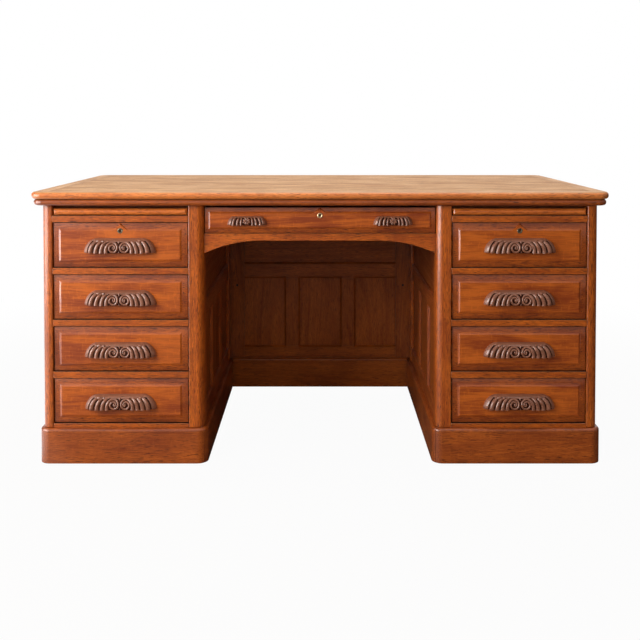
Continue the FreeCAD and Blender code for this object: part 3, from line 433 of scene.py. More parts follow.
class Finish(Enum):
    """The finishes of the desk, by what they cover. Oak is given light, dark, pore, worn, and a darkening near
    edges that is partly soiling and partly painted shade.
    """

    TOP = OakFinish("oak of the top", *TOP_TONES, (0.11, 0.045, 0.016), (0.66, 0.42, 0.22),
                    (0.12, 0.05, 0.02), roughness=0.46, specular=0.16, coat=0.0, rings=0.55, pores=0.7,
                    rays=0.1, clouds=0.9, ring_width=6.5, wear=0.25, grime_and_shade_amount=0.35)
    LIPPING = OakFinish("oak of the lipping", (0.90, 0.285, 0.062), (0.60, 0.150, 0.027),
                        (0.11, 0.024, 0.006), (0.78, 0.36, 0.15), (0.07, 0.02, 0.007), roughness=0.42,
                        fibres=0.6, pores=0.8, ring_width=6.5, wear=0.2, grime_and_shade_amount=0.2,
                        on_flats=TOP_TONES, flats_coat=0.0)
    CASE = OakFinish("oak of the case", (0.53, 0.118, 0.014), (0.25, 0.043, 0.005), CASE_PORE,
                     (0.66, 0.24, 0.075), CASE_GRIME_AND_SHADE)
    POST = OakFinish("oak of the posts", (0.70, 0.160, 0.014), (0.34, 0.058, 0.005), CASE_PORE,
                     (0.74, 0.28, 0.085), CASE_GRIME_AND_SHADE, coat=0.4, rings=0.6, fibres=0.85, pores=1.0)
    # The slides' rounded front edges get much brighter oak than their broad faces: painted light, making up for
    # the shade under the top's overhang
    SLIDE = OakFinish("oak of the slides", (0.84, 0.220, 0.030), (0.54, 0.115, 0.013),
                      (0.09, 0.018, 0.005), (0.74, 0.30, 0.11), (0.07, 0.018, 0.006), pores=0.8,
                      grime_and_shade_amount=0.2, on_flats=((0.42, 0.135, 0.032), (0.22, 0.058, 0.012)))
    FRONT = OakFinish("oak of the drawer fronts", (0.49, 0.102, 0.010), (0.245, 0.040, 0.004),
                      (0.05, 0.009, 0.003), (0.60, 0.20, 0.065), (0.04, 0.009, 0.003), rings=0.65,
                      fibres=0.95, pores=1.0, rays=0.25, clouds=0.9, ring_width=6.0, grime_and_shade_amount=0.65,
                      flats_end=4.2, on_flats=((0.60, 0.132, 0.012), (0.27, 0.042, 0.004)))
    # The front rails' upper and lower faces, and a fine line along the top and bottom of their fronts, are
    # painted nearly black: painted shade in the gaps above and below the drawer fronts
    RAIL = OakFinish("oak of the front rails", (0.72, 0.160, 0.012), (0.36, 0.060, 0.005), CASE_PORE,
                     (0.76, 0.30, 0.10), CASE_GRIME_AND_SHADE, wear=0.6, flats_end=0.8,
                     on_flats=((0.045, 0.011, 0.004), (0.025, 0.006, 0.003)))
    PANEL = OakFinish("oak of the panels", (0.42, 0.100, 0.010), (0.21, 0.040, 0.004),
                      (0.03, 0.006, 0.002), (0.46, 0.16, 0.05), (0.03, 0.008, 0.003), coat=0.4,
                      rings=0.7, fibres=0.6, pores=0.7, clouds=0.5, ring_width=7.0)
    # Its carved ground is painted nearly black: painted shade in the grooves
    CARVED = OakFinish("carved oak", (0.36, 0.142, 0.078), (0.20, 0.070, 0.036), (0.05, 0.017, 0.009),
                       (0.45, 0.25, 0.17), (0.03, 0.012, 0.008), roughness=0.5, specular=0.1, coat=0.8,
                       coat_roughness=0.26, rings=0.3, fibres=0.5, pores=0.45, clouds=0.4, wear=0.0,
                       grime_and_shade_amount=0.0, end_grain=0.0, painted_shade_in_hollows=(0.036, 0.007, 0.002))
    LINING = OakFinish("drawer lining", (0.60, 0.40, 0.22), (0.42, 0.25, 0.12), (0.22, 0.11, 0.05),
                       (0.66, 0.50, 0.33), (0.16, 0.10, 0.06), roughness=0.62, specular=0.25, coat=0.0,
                       fibres=0.5, pores=0.3, clouds=0.4, grime_and_shade_amount=0.55, grime_and_shade_width=12.0)
    INNER = OakFinish("inner wood", (0.40, 0.24, 0.12), (0.25, 0.135, 0.06), (0.12, 0.06, 0.03),
                      (0.50, 0.36, 0.23), (0.09, 0.05, 0.03), roughness=0.7, coat=0.0, fibres=0.55,
                      pores=0.3, clouds=0.5, grime_and_shade_amount=0.6, grime_and_shade_width=15.0)
    BRASS = MetalFinish("aged brass", (0.70, 0.52, 0.30), (0.20, 0.14, 0.08), 0.30, 0.35)
    DARK_BRASS = MetalFinish("dark brass", (0.20, 0.16, 0.10), (0.06, 0.05, 0.03), 0.38, 0.7)
    STEEL = MetalFinish("dull steel", (0.30, 0.28, 0.26), (0.07, 0.05, 0.04), 0.42, 0.7)
    # Nearly black steel for the screw heads
    NEARLY_BLACK_STEEL = MetalFinish("nearly black steel", (0.07, 0.06, 0.05), (0.03, 0.018, 0.012), 0.6, 0.8)

    def material(self) -> bpy.types.Material:
        """Return the finish's material, which is built at its first use."""
        return bpy.data.materials.get(self.value.name) or self.value.build()


SLOT_FINISH = {"oak_top": Finish.TOP, "oak_case": Finish.CASE, "oak_panel": Finish.PANEL,
               "oak_drawer_front": Finish.FRONT, "carved_oak": Finish.CARVED,
               "drawer_lining": Finish.LINING, "inner_wood": Finish.INNER,
               "brass": Finish.BRASS, "steel": Finish.STEEL}


# Pieces and their meshes

def body_of(node: str) -> str:
    """Return the body that a CAD node rides on."""
    return frame["nodes"][node]["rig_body"]


def new_object(name: str, data: bpy.types.ID) -> bpy.types.Object:
    """Return a new object at the origin, linked to the scene."""
    item = bpy.data.objects.new(name, data)
    bpy.context.scene.collection.objects.link(item)
    return item


def mesh_from(shape: bmesh.types.BMesh, name: str, smooth: bool | None = None) -> bpy.types.Mesh:
    """Turn a shape into a mesh and free it.

    Args:
        shape: The shape.
        name: The mesh's name.
        smooth: Whether all faces are shaded smooth, or None to leave them as they are.

    Returns:
        The mesh.
    """
    if smooth is not None:
        for face in shape.faces:
            face.smooth = smooth
    mesh = bpy.data.meshes.new(name)
    shape.to_mesh(mesh)
    shape.free()
    return mesh


def ease_edges(item: bpy.types.Object, width: float, angle: float) -> None:
    """Round the edges of an object that are sharper than an angle."""
    bevel = item.modifiers.new("eased edges", "BEVEL")
    bevel.width = width
    bevel.segments = 2
    bevel.limit_method = "ANGLE"
    bevel.angle_limit = angle


def settled(item: bpy.types.Object, name: str) -> bpy.types.Object:
    """Turn an object's modifiers into a plain mesh.

    Args:
        item: The object, which is removed.
        name: The name of the piece that takes its place.

    Returns:
        A new object without modifiers.
    """
    graph = bpy.context.evaluated_depsgraph_get()
    mesh = bpy.data.meshes.new_from_object(item.evaluated_get(graph), preserve_all_data_layers=True,
                                           depsgraph=graph)
    mesh.name = name
    bpy.data.objects.remove(item)
    return new_object(name, mesh)


def run_tree(item: bpy.types.Object, group: bpy.types.NodeTree, values: dict[str, object],
             name: str) -> bpy.types.Object:
    """Run a Geometry Nodes tree on an object and keep the result as a plain mesh.

    Args:
        item: The object that the tree starts from, which is removed.
        group: The tree.
        values: Its inputs by name.
        name: The name of the result.

    Returns:
        An object without modifiers.
    """
    modifier = item.modifiers.new(group.name, "NODES")
    modifier.node_group = group
    for socket in group.interface.items_tree:
        if socket.item_type == "SOCKET" and socket.in_out == "INPUT" and socket.name in values:
            modifier[socket.identifier] = values[socket.name]
    return settled(item, name)


def positions(mesh: bpy.types.Mesh) -> np.ndarray:
    """Return the vertices of a mesh as rows of x, y and z."""
    flat = np.empty(len(mesh.vertices) * 3, dtype=np.float64)
    mesh.vertices.foreach_get("co", flat)
    return flat.reshape(-1, 3)


def box_of(points: np.ndarray) -> tuple[np.ndarray, np.ndarray]:
    """Return the lowest and highest corner of some points."""
    return points.min(axis=0), points.max(axis=0)


def shells(mesh: bpy.types.Mesh) -> np.ndarray:
    """Return the number of the loose shell that each vertex belongs to."""
    pairs = np.empty(len(mesh.edges) * 2, dtype=np.int64)
    mesh.edges.foreach_get("vertices", pairs)
    pairs = pairs.reshape(-1, 2)
    label = np.arange(len(mesh.vertices))
    while True:
        low = np.minimum(label[pairs[:, 0]], label[pairs[:, 1]])
        before = label.copy()
        np.minimum.at(label, pairs[:, 0], low)
        np.minimum.at(label, pairs[:, 1], low)
        label = label[label]
        if np.array_equal(before, label):
            return np.unique(label, return_inverse=True)[1]


def solids_of(node: str) -> list[bpy.types.Mesh]:
    """Return a CAD node's solids as closed meshes of their own.

    The node's mesh has a loose patch for each face, solid after solid, so a solid is whole
    when each edge of its patches has found its fellow.
    """
    mesh = frame["nodes"][node].data
    points = positions(mesh)
    tree = KDTree(len(points))
    for i, point in enumerate(points):
        tree.insert(point, i)
    tree.balance()
    same = [min(hit[1] for hit in tree.find_range(point, MERGE_DISTANCE)) for point in points]
    patch = shells(mesh)
    faces: dict[int, list[list[int]]] = {}
    for polygon in mesh.polygons:
        faces.setdefault(int(patch[polygon.vertices[0]]), []).append([same[v] for v in polygon.vertices])
    solids, waiting, open_edges = [], [], set()
    for rows in faces.values():
        for row in rows:
            waiting.append(row)
            for pair in zip(row, row[1:] + row[:1]):
                open_edges ^= {frozenset(pair)}
        if not open_edges:
            solid = bpy.data.meshes.new(node)
            used = sorted({v for row in waiting for v in row})
            place = {v: i for i, v in enumerate(used)}
            solid.from_pydata([points[v] for v in used], [], [[place[v] for v in row] for row in waiting])
            solids.append(solid)
            waiting = []
    if waiting:
        raise ValueError(f"{node}: a solid is left open")
    return solids


def write_attribute(mesh: bpy.types.Mesh, name: str, values: np.ndarray) -> None:
    """Store numbers or vectors on the vertices of a mesh."""
    kind, key = ("FLOAT_VECTOR", "vector") if values.ndim == 2 else ("FLOAT", "value")
    layer = mesh.attributes.get(name) or mesh.attributes.new(name, kind, "POINT")
    layer.data.foreach_set(key, np.ascontiguousarray(values, dtype=np.float32).ravel())


def write_grain(mesh: bpy.types.Mesh, chance: random.Random, along: int | None = None) -> None:
    """Give each board of a mesh its own grain place, half size and seed.

    Args:
        mesh: The boards, each a loose shell.
        chance: Where the seeds come from.
        along: The axis of the grain, or None for each board's longest one.
    """
    points = positions(mesh)
    number = shells(mesh)
    place, half, seed = np.zeros_like(points), np.zeros_like(points), np.zeros(len(points))
    for shell in range(number.max() + 1):
        chosen = number == shell
        low, high = box_of(points[chosen])
        size = high - low
        order = list(np.argsort(-size))
        if along is not None:
            order.remove(along)
            order.insert(0, along)
        place[chosen] = (points[chosen] - (low + high) / 2)[:, order]
        half[chosen] = (size / 2)[order]
        seed[chosen] = chance.random()
    for name, values in (("place", place), ("half", half), ("seed", seed)):
        write_attribute(mesh, name, values)


def dress(item: bpy.types.Object, node: str, finish: Finish | None = None) -> bpy.types.Object:
    """Give a piece its finish, and let it stand for a CAD node.

    Args:
        item: The piece.
        node: The node that it replaces.
        finish: The finish, or None for the one of the node's slot.

    Returns:
        The same piece.
    """
    slot = SLOTS[node]
    if not item.data.materials:
        item.data.materials.append((finish or SLOT_FINISH[slot]).material())
    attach(item, body_of(node))
    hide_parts(node)
    log.info("%s: %d vertices", item.name, len(item.data.vertices))
    return item


# Wood

@dataclass
class BoardWork:
    """Boards cut to the CAD solids, with eased edges and grain of their own."""

    ease: float = 0.7 * MM
    flat_angle: float = math.radians(0.8)
    edge_angle: float = math.radians(28.0)
    normal_weight: int = 80
    chance: random.Random = field(default_factory=lambda: random.Random(SEED))

    def clean_mesh(self, node: str) -> bpy.types.Mesh:
        """Return a CAD node's solids in one mesh, without needless edges on their flats."""
        source = bmesh.new()
        for solid in solids_of(node):
            source.from_mesh(solid)
            bpy.data.meshes.remove(solid)
        bmesh.ops.dissolve_limit(source, angle_limit=self.flat_angle, verts=source.verts,
                                 edges=source.edges, use_dissolve_boundaries=False)
        return mesh_from(source, node, smooth=True)

    def make(self, node: str, finish: Finish | None = None, ease: float | None = None,
             along: int | None = None) -> bpy.types.Object:
        """Make the boards of one node.

        Args:
            node: The CAD node.
            finish: The finish, or None for the one of the node's slot.
            ease: How far the edges are rounded, or None for the usual amount.
            along: The axis of the grain, or None for each board's longest one.

        Returns:
            The piece.
        """
        item = new_object(node + "_blank", self.clean_mesh(node))
        ease_edges(item, self.ease if ease is None else ease, self.edge_angle)
        normals = item.modifiers.new("flat faces stay flat", "WEIGHTED_NORMAL")
        normals.mode = "FACE_AREA_WITH_ANGLE"
        normals.weight = self.normal_weight
        piece = settled(item, node + "_boards")
        write_grain(piece.data, self.chance, along)
        return dress(piece, node, finish)


@dataclass(frozen=True)
class Cut:
    """What is special about the boards of some nodes."""

    finish: Finish | None = None
    ease: float | None = None
    along: int | None = None


TOP_CUTS = {"top_boards": Cut(ease=0.25 * MM), "top_lipping": Cut(Finish.LIPPING, 0.25 * MM)}
# By how a node's name ends
CASE_CUTS = {"_posts": Cut(Finish.POST, 3.0 * MM), "_front_rails": Cut(Finish.RAIL, 1.1 * MM),
             "apron": Cut(Finish.POST), "kneehole_back_frame": Cut(Finish.PANEL),
             "kneehole_skirting": Cut(Finish.PANEL), "": Cut()}
DRAWER_CUTS = {"_front": Cut(None, 0.6 * MM, 0), "_box": Cut(None, 0.5 * MM),
               "_writing_slide": Cut(Finish.SLIDE, 0.4 * MM, 0)}


def make_boards(work: BoardWork, nodes: Iterable[str], cuts: dict[str, Cut]) -> None:
    """Make the nodes whose names end as one of the cuts says, each by the first that fits."""
    for node in nodes:
        cut = next((cut for ending, cut in cuts.items() if node.endswith(ending)), None)
        if cut:
            work.make(node, cut.finish, cut.ease, cut.along)


def make_wood(work: BoardWork) -> None:
    """Make every wooden node but the handles: the top, the rest of the case, the drawers and slides."""
    make_boards(work, TOP_CUTS, TOP_CUTS)
    fixed = [node for node in sorted(SLOTS)
             if body_of(node) == "case" and node not in TOP_CUTS and node != "fixing_screws"]
    make_boards(work, fixed, CASE_CUTS)
    make_boards(work, sorted(SLOTS), DRAWER_CUTS)


# Carved handles

# A line on the front of a handle: rows of (distance from its middle, height, radius)
Line = list[tuple[float, float, float]]


def swept_rod_group() -> bpy.types.NodeTree:
    """Build the tree that turns lines into round carved reeds, thick as the lines' radius says.

    Returns:
        A Geometry Nodes tree with the input Sides.
    """
    tree, given, out = new_group("carved reeds", {"Lines": "NodeSocketGeometry", "Sides": "NodeSocketInt"},
                                 {"Reeds": "NodeSocketGeometry"}, "GeometryNodeTree")
    section = tree.node("GeometryNodeCurvePrimitiveCircle", {"Resolution": given["Sides"], "Radius": 1.0},
                        mode="RADIUS")
    sweep = tree.node("GeometryNodeCurveToMesh", {
        "Curve": given["Lines"], "Profile Curve": section.outputs["Curve"],
        "Scale": tree.node("GeometryNodeInputRadius").outputs["Radius"], "Fill Caps": True})
    tree.feed(out, {"Reeds": sweep.outputs["Mesh"]})
    return tree.tree


@dataclass
class CarvedHandle:
    """A drawer handle carved from one block: a bulging body with reeds, and a hollow for the fingers.

    The handle's own frame has X from its middle, Z up from its lower lip and depth forwards from
    the drawer's face. The carved ground ends plain_from the middle, on a line that leans over by
    plain_lean, and under an upper edge that rises by band from the middle to the ends.
    """

    width: float
    height: float
    projection: float
    end_radius: float
    carving: float
    wall: float
    plain_from: float
    plain_lean: float
    lines: Sequence[Line]
    end_slope: float = 2.4 * MM
    band: Span = (0.77, 0.84)
    band_end: float = 0.64
    band_slope: float = 0.045
    outline_power: float = 1.8
    clearance: float = 0.3 * MM
    reed_sides: int = 14
    columns: int = 96
    rows: int = 34
    # Share of the projection at shares of the height
    profile: tuple[Span, ...] = (
        (0.0, 0.90), (0.06, 0.955), (0.14, 0.985), (0.27, 1.0), (0.42, 0.975), (0.56, 0.91), (0.69, 0.80),
        (0.80, 0.665), (0.885, 0.52), (0.94, 0.385), (0.975, 0.25), (0.994, 0.12), (1.0, 0.0))

    @property
    def half(self) -> float:
        """Half the width."""
        return self.width / 2

    def past(self, across: np.ndarray, reach: float) -> np.ndarray:
        """Return how far distances from the middle lie within reach of the ends, from 0 to 1."""
        return np.clip((np.abs(across) - (self.half - reach)) / reach, 0, 1)

    def outline(self, across: np.ndarray) -> np.ndarray:
        """Return the handle's height at a distance from its middle."""
        left = np.clip(1 - self.past(across, self.end_radius) ** self.outline_power, 0, 1)
        return self.height * left ** (1 / self.outline_power)

    def fullness(self, across: np.ndarray) -> np.ndarray:
        """Return the share of the projection that is left at a distance from the middle."""
        return np.clip(1 - self.past(across, self.end_radius * 1.15) ** 2.2, 0, 1) ** 0.6

    def depth(self, across: np.ndarray, up: np.ndarray) -> np.ndarray:
        """Return how far the uncarved body stands forward."""
        rise = np.clip(up / np.maximum(self.outline(across), 1e-6), 0, 1)
        return self.projection * self.fullness(across) * np.interp(rise, *zip(*self.profile))

    def floor(self, across: np.ndarray, up: np.ndarray) -> np.ndarray:
        """Return how deep the carved ground lies under the body's surface."""
        low, high = self.band
        edge = self.height * (low + (high - low) * np.abs(across) / (self.band_end * self.half))
        below = np.clip((edge - up) / (self.height * self.band_slope), 0, 1)
        rise = np.clip(up / self.height, 0, 1)
        end = self.plain_from - self.plain_lean * (1 - np.sqrt(1 - rise ** 2))
        within = np.clip((end - np.abs(across)) / self.end_slope, 0, 1)
        # Both ends of each share are eased
        share = below * below * (3 - 2 * below) * within * within * (3 - 2 * within)
        return np.minimum(self.carving * share, self.depth(across, up) * 0.5)

    def ground(self, across: np.ndarray, up: np.ndarray) -> np.ndarray:
        """Return how far the carved ground stands forward."""
        return self.depth(across, up) - self.floor(across, up)

    def hollow(self, x: float, top: float, up: float, front: float) -> float:
        """Return how far the finger hollow reaches forward at a spot.

        Args:
            x: The spot's distance from the middle.
            top: The handle's height there.
            up: The spot's height.
            front: How far the carved front stands forward there.

        Returns:
            The hollow's depth, 0 where the wall closes it.
        """
        inner_half, lid = self.half - self.wall, top - self.wall
        if abs(x) >= inner_half or up >= lid:
            return 0.0
        room = math.sqrt(1 - (abs(x) / inner_half) ** 6)
        under = (1 - (up / lid) ** 4) ** 0.5
        return min(max(0.0, front - self.wall) * room * under, front)

    def body_mesh(self, name: str) -> bpy.types.Mesh:
        """Return the block with its carved ground and its hollow back."""
        turn = np.linspace(-1, 1, self.columns + 1)
        knots = np.array(self.profile)
        steps = np.hypot(np.diff(knots[:, 0]) * 1.6, np.diff(knots[:, 1]))
        span = np.concatenate([[0], np.cumsum(steps)])
        rises = np.interp(np.linspace(0, span[-1], self.rows + 1), span, knots[:, 0])
        shape = bmesh.new()
        front, back = [], []
        for x in self.half * np.sign(turn) * (1 - (1 - np.abs(turn)) ** 1.35):
            top = float(self.outline(np.array([x]))[0])
            up = rises * top
            forward = self.ground(np.full(self.rows + 1, x), up)
            hollow = [self.hollow(x, top, z, d) for z, d in zip(up, forward)]
            for grid, reach in ((front, forward), (back, hollow)):
                grid.append([(x, -d, z) for d, z in zip(reach, up)])
        front, back = ([[shape.verts.new(p) for p in column] for column in grid] for grid in (front, back))
        for grid, turned in ((front, False), (back, True)):
            for one, two in zip(grid, grid[1:]):
                for j in range(self.rows):
                    quad = [one[j], two[j], two[j + 1], one[j + 1]]
                    shape.faces.new(quad[::-1] if turned else quad)
        for i in range(self.columns):
            shape.faces.new([front[i + 1][0], front[i][0], back[i][0], back[i + 1][0]])
        bmesh.ops.remove_doubles(shape, verts=shape.verts, dist=0.02 * MM)
        bmesh.ops.recalc_face_normals(shape, faces=shape.faces)
        return mesh_from(shape, name, smooth=True)

    def line_curve(self, name: str) -> bpy.types.Object:
        """Return the carving's lines as a curve object that lies on the carved ground."""
        curve = bpy.data.curves.new(name, "CURVE")
        curve.dimensions = "3D"
        for line in self.lines:
            rows = np.array(line)
            limit = self.projection - self.clearance - rows[:, 2]
            forward = np.minimum(self.ground(rows[:, 0], rows[:, 1]) + 0.25 * rows[:, 2], limit)
            spline = curve.splines.new("POLY")
            spline.points.add(len(rows) - 1)
            for point, (x, z, radius), d in zip(spline.points, rows, forward):
                point.co = (x, -d, z, 1.0)
                point.radius = radius
        return new_object(name, curve)

    def make(self, name: str, group: bpy.types.NodeTree) -> bpy.types.Mesh:
        """Return the finished handle in its own frame.

        Args:
            name: The name of its mesh.
            group: The tree that sweeps the reeds.

        Returns:
            A mesh of the body and the reeds.
        """
        reeds = run_tree(self.line_curve(name + "_lines"), group, {"Sides": self.reed_sides}, name + "_reeds")
        shape = bmesh.new()
        body = self.body_mesh(name + "_body")
        for mesh in (body, reeds.data):
            shape.from_mesh(mesh)
        for vertex in shape.verts:
            vertex.co.z = max(vertex.co.z, 0.0)
        bpy.data.objects.remove(reeds)
        bpy.data.meshes.remove(body)
        return mesh_from(shape, name, smooth=True)

    def relief(self, points: np.ndarray) -> np.ndarray:
        """Return how far points stand out of the carved ground, from 0 to 1."""
        across, forward, up = points[:, 0], -points[:, 1], points[:, 2]
        stand = np.clip((forward - self.ground(across, up)) / (self.carving * 0.75), 0, 1)
        plain = 1 - np.clip(self.floor(across, up) / self.carving, 0, 1)
        return np.maximum(stand, plain)


def both_sides(lines: Iterable[Line]) -> list[Line]:
    """Return lines with their mirror images about a handle's middle."""
    return [[(side * x, z, r) for x, z, r in line] for line in lines for side in (1, -1)]


def in_metres(rows: Iterable[tuple[float, float, float]]) -> Line:
    """Return the line of rows that are given in millimetres."""
    return [(x * MM, z * MM, r * MM) for x, z, r in rows]


def reed(foot: float, lean: float, top: float, thick: float, thin: float, steps: int = 18) -> Line:
    """Return a reed that starts upright at a handle's lip and leans over to the middle.

    Its lengths are given in millimetres.

    Args:
        foot: Distance of its foot from the middle.
        lean: How far it leans over.
        top: Height of its upper end.
        thick: Radius at its foot.
        thin: Radius at its upper end.
        steps: Number of its points.

    Returns:
        The line.
    """
    foot, lean, top, thick, thin = (length * MM for length in (foot, lean, top, thick, thin))
    line = []
    for i in range(steps + 1):
        share = i / steps
        angle = share * math.pi / 2
        line.append((foot - lean * (1 - math.cos(angle)), top * math.sin(angle),
                     thick + (thin - thick) * share ** 1.4))
    return line


def scroll_lines() -> list[Line]:
    """Return the carving of a large handle: two scrolls, three reeds a side, a leaf and a drop."""
    centre_x, centre_z = 15.9, 14.2
    scroll = [(35.6, 0.0, 5.9), (36.0, 5.0, 5.8), (35.6, 11.0, 5.5), (34.0, 17.0, 5.0), (30.8, 22.4, 4.4),
              (26.4, 26.4, 3.9), (21.2, 28.7, 3.5)]
    steps, turns = 48, 1.5
    for i in range(steps + 1):
        turn = turns * i / steps
        radius = np.interp(turn, (0.0, 0.125, 0.25, 0.5, 0.75, 1.0, 1.25, 1.5),
                           (14.4, 12.8, 11.6, 11.4, 10.8, 7.9, 5.2, 3.2))
        angle = math.pi / 2 + 2 * math.pi * turn
        scroll.append((centre_x + radius * math.cos(angle), centre_z + radius * math.sin(angle),
                       3.2 - 0.6 * turn / turns))
    knob = [(centre_x + dx, centre_z, r) for dx, r in ((-2.6, 2.8), (0.0, 5.2), (2.6, 2.8))]
    reeds = [reed(49.4, 19.0, 31.0, 6.3, 3.0), reed(64.2, 22.5, 32.2, 6.6, 3.2),
             reed(79.2, 26.0, 33.6, 6.6, 3.4)]
    leaf = [(0.0, 33.6, 0.9), (0.0, 30.6, 2.4), (0.0, 27.0, 2.0), (0.0, 23.4, 0.6)]
    drop = [(0.0, 0.0, 2.3), (0.0, 3.0, 1.9), (0.0, 6.5, 0.6)]
    return both_sides([in_metres(scroll), in_metres(knob), *reeds]) + [in_metres(leaf), in_metres(drop)]


def rosette_lines() -> list[Line]:
    """Return the carving of a small handle: a rosette of eight petals with three reeds a side."""
    centre_z, count = 11.6, 8
    petal = ((2.6, 1.8), (5.0, 2.7), (7.6, 3.3), (9.6, 2.4), (10.8, 0.9))
    petals = []
    for i in range(count):
        angle = 2 * math.pi * (i + 0.5) / count
        petals.append(in_metres((reach * math.cos(angle), centre_z + reach * math.sin(angle), r)
                                for reach, r in petal))
    eye = [(dx, centre_z, r) for dx, r in ((-1.6, 1.8), (0.0, 3.0), (1.6, 1.8))]
    reeds = [reed(16.5, 4.0, 19.6, 3.0, 1.7, 12), reed(26.5, 7.5, 20.4, 3.9, 1.9, 12),
             reed(38.0, 9.5, 21.2, 4.1, 2.1, 12)]
    return both_sides(reeds) + petals + [in_metres(eye)]


@dataclass
class Handles:
    """All the carved handles of the desk."""

    small_width: float = 110 * MM
    chance: random.Random = field(default_factory=lambda: random.Random(SEED + 1))

    def place(self, pattern: bpy.types.Mesh, shape: CarvedHandle, node: str,
              middles: Sequence[float]) -> bpy.types.Object:
        """Set copies of a handle on a drawer.

        Args:
            pattern: The handle in its own frame.
            shape: The handle's form, for its relief.
            node: The CAD node that the copies stand for.
            middles: Where the middle of each handle is along X.

        Returns:
            The piece.
        """
        low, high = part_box(node)
        whole = bmesh.new()
        for middle in middles:
            copy = pattern.copy()
            copy.transform(Matrix.Translation((middle, high.y, low.z)))
            whole.from_mesh(copy)
            bpy.data.meshes.remove(copy)
        mesh = mesh_from(whole, node + "_carving")
        points = positions(pattern)
        place = np.tile(points, (len(middles), 1))
        seeds = np.repeat([self.chance.random() for _ in middles], len(points))
        relief = np.tile(shape.relief(points), len(middles))
        for name, values in (("place", place), ("half", np.ones_like(place)), ("seed", seeds),
                             ("relief", relief)):
            write_attribute(mesh, name, values)
        return dress(new_object(node + "_carving", mesh), node, Finish.CARVED)

    def make(self) -> None:
        """Make the eight large and the two small handles."""
        group = swept_rod_group()
        low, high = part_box("left_drawer_2_handle")
        large = CarvedHandle(width=high.x - low.x, height=high.z - low.z, projection=high.y - low.y,
                             end_radius=36 * MM, carving=4.6 * MM, wall=8 * MM, plain_from=89.5 * MM,
                             plain_lean=34 * MM, lines=scroll_lines())
        pattern = large.make("large_handle", group)
        for node in sorted(SLOTS):
            if node.endswith("_handle"):
                low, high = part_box(node)
                self.place(pattern, large, node, [(low.x + high.x) / 2])
        low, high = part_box("centre_drawer_handles")
        small = CarvedHandle(width=self.small_width, height=high.z - low.z, projection=high.y - low.y,
                             end_radius=16.5 * MM, carving=2.2 * MM, wall=5 * MM, plain_from=45 * MM,
                             plain_lean=14 * MM, lines=rosette_lines(), end_slope=1.6 * MM,
                             band=(0.86, 0.90))
        self.place(small.make("small_handle", group), small, "centre_drawer_handles",
                   [low.x + small.half, high.x - small.half])


# Metal

def lathe(profile: Sequence[Span], segments: int = 32) -> bmesh.types.BMesh:
    """Turn a profile round the Y axis.

    Args:
        profile: Rows of (radius, y) from one end to the other; a radius of 0 closes an end, and
            a profile that has none is closed on itself.
        segments: Number of steps round.

    Returns:
        A closed shape.
    """
    shape = bmesh.new()
    angles = [2 * math.pi * i / segments for i in range(segments)]
    rings = []
    for radius, y in profile:
        if radius <= 0:
            rings.append([shape.verts.new((0, y, 0))] * segments)
        else:
            rings.append([shape.verts.new((radius * math.cos(a), y, radius * math.sin(a))) for a in angles])
    pairs = list(zip(rings, rings[1:]))
    if profile[0][0] > 0 and profile[-1][0] > 0:
        pairs.append((rings[-1], rings[0]))
    for one, two in pairs:
        for i in range(segments):
            j = (i + 1) % segments
            corners = list(dict.fromkeys((one[i], one[j], two[j], two[i])))
            if len(corners) > 2:
                shape.faces.new(corners)
    bmesh.ops.recalc_face_normals(shape, faces=shape.faces)
    return shape


@dataclass
class LockWork:
    """Locks: case behind the drawer's front, round escutcheon and bolt."""

    work: BoardWork
    stand: float = 0.6 * MM
    bolt_ease: float = 0.5 * MM

    def escutcheon(self, centre: Vector, radius: float, depth: float) -> bpy.types.Mesh:
        """Return a turned ring with a raised rim round a keyhole.

        Args:
            centre: Middle of the ring on the drawer's face.
            radius: Its outer radius.
            depth: How deep it goes into the front.

        Returns:
            The ring.
        """
        # Shares of the radius and of the stand, from the rim's foot to the keyhole's edge
        rim = ((1.0, -0.1), (0.93, -0.65), (0.80, -1.0), (0.66, -0.95), (0.58, -0.3), (0.48 * 1.12, 0.2),
               (0.48, 0.9))
        rows = [(radius, depth), *((radius * r, self.stand * y) for r, y in rim), (radius * 0.48, depth)]
        ring = lathe(rows)
        bmesh.ops.translate(ring, verts=ring.verts, vec=centre)
        return mesh_from(ring, "escutcheon", smooth=True)

    def make_lock(self, node: str) -> None:
        """Make a lock from its CAD solids, with a turned escutcheon."""
        mesh = self.work.clean_mesh(node)
        number, points = shells(mesh), positions(mesh)
        boxes = [box_of(points[number == k]) for k in range(number.max() + 1)]
        # The escutcheon is the solid that stands furthest forward
        foremost = min(range(len(boxes)), key=lambda k: boxes[k][0][1])
        low, high = boxes[foremost]
        shape = bmesh.new()
        shape.from_mesh(mesh)
        shape.verts.ensure_lookup_table()
        unwanted = [shape.verts[i] for i in np.nonzero(number == foremost)[0]]
        bmesh.ops.delete(shape, geom=unwanted, context="VERTS")
        for face in shape.faces:
            face.material_index = 1
            face.smooth = False
        middle = (low + high) / 2
        face_y = low[1] + self.stand
        shape.from_mesh(self.escutcheon(Vector((middle[0], face_y, middle[2])), (high[0] - low[0]) / 2,
                                        high[1] - face_y))
        whole = mesh_from(shape, node + "_metal")
        brass = Finish.BRASS if node == "centre_lock" else Finish.DARK_BRASS
        for finish in (brass, Finish.STEEL):
            whole.materials.append(finish.material())
        dress(new_object(node + "_metal", whole), node)

    def make_bolt(self, node: str) -> None:
        """Make a bolt with eased edges."""
        item = new_object(node + "_blank", self.work.clean_mesh(node))
        ease_edges(item, self.bolt_ease, self.work.edge_angle)
        piece = settled(item, node + "_metal")
        for polygon in piece.data.polygons:
            polygon.use_smooth = False
        dress(piece, node)

    def make(self) -> None:
        """Make the three locks and their bolts."""
        for node in sorted(SLOTS):
            if node.endswith("_lock"):
                self.make_lock(node)
            elif node.endswith("_lock_bolt"):
                self.make_bolt(node)


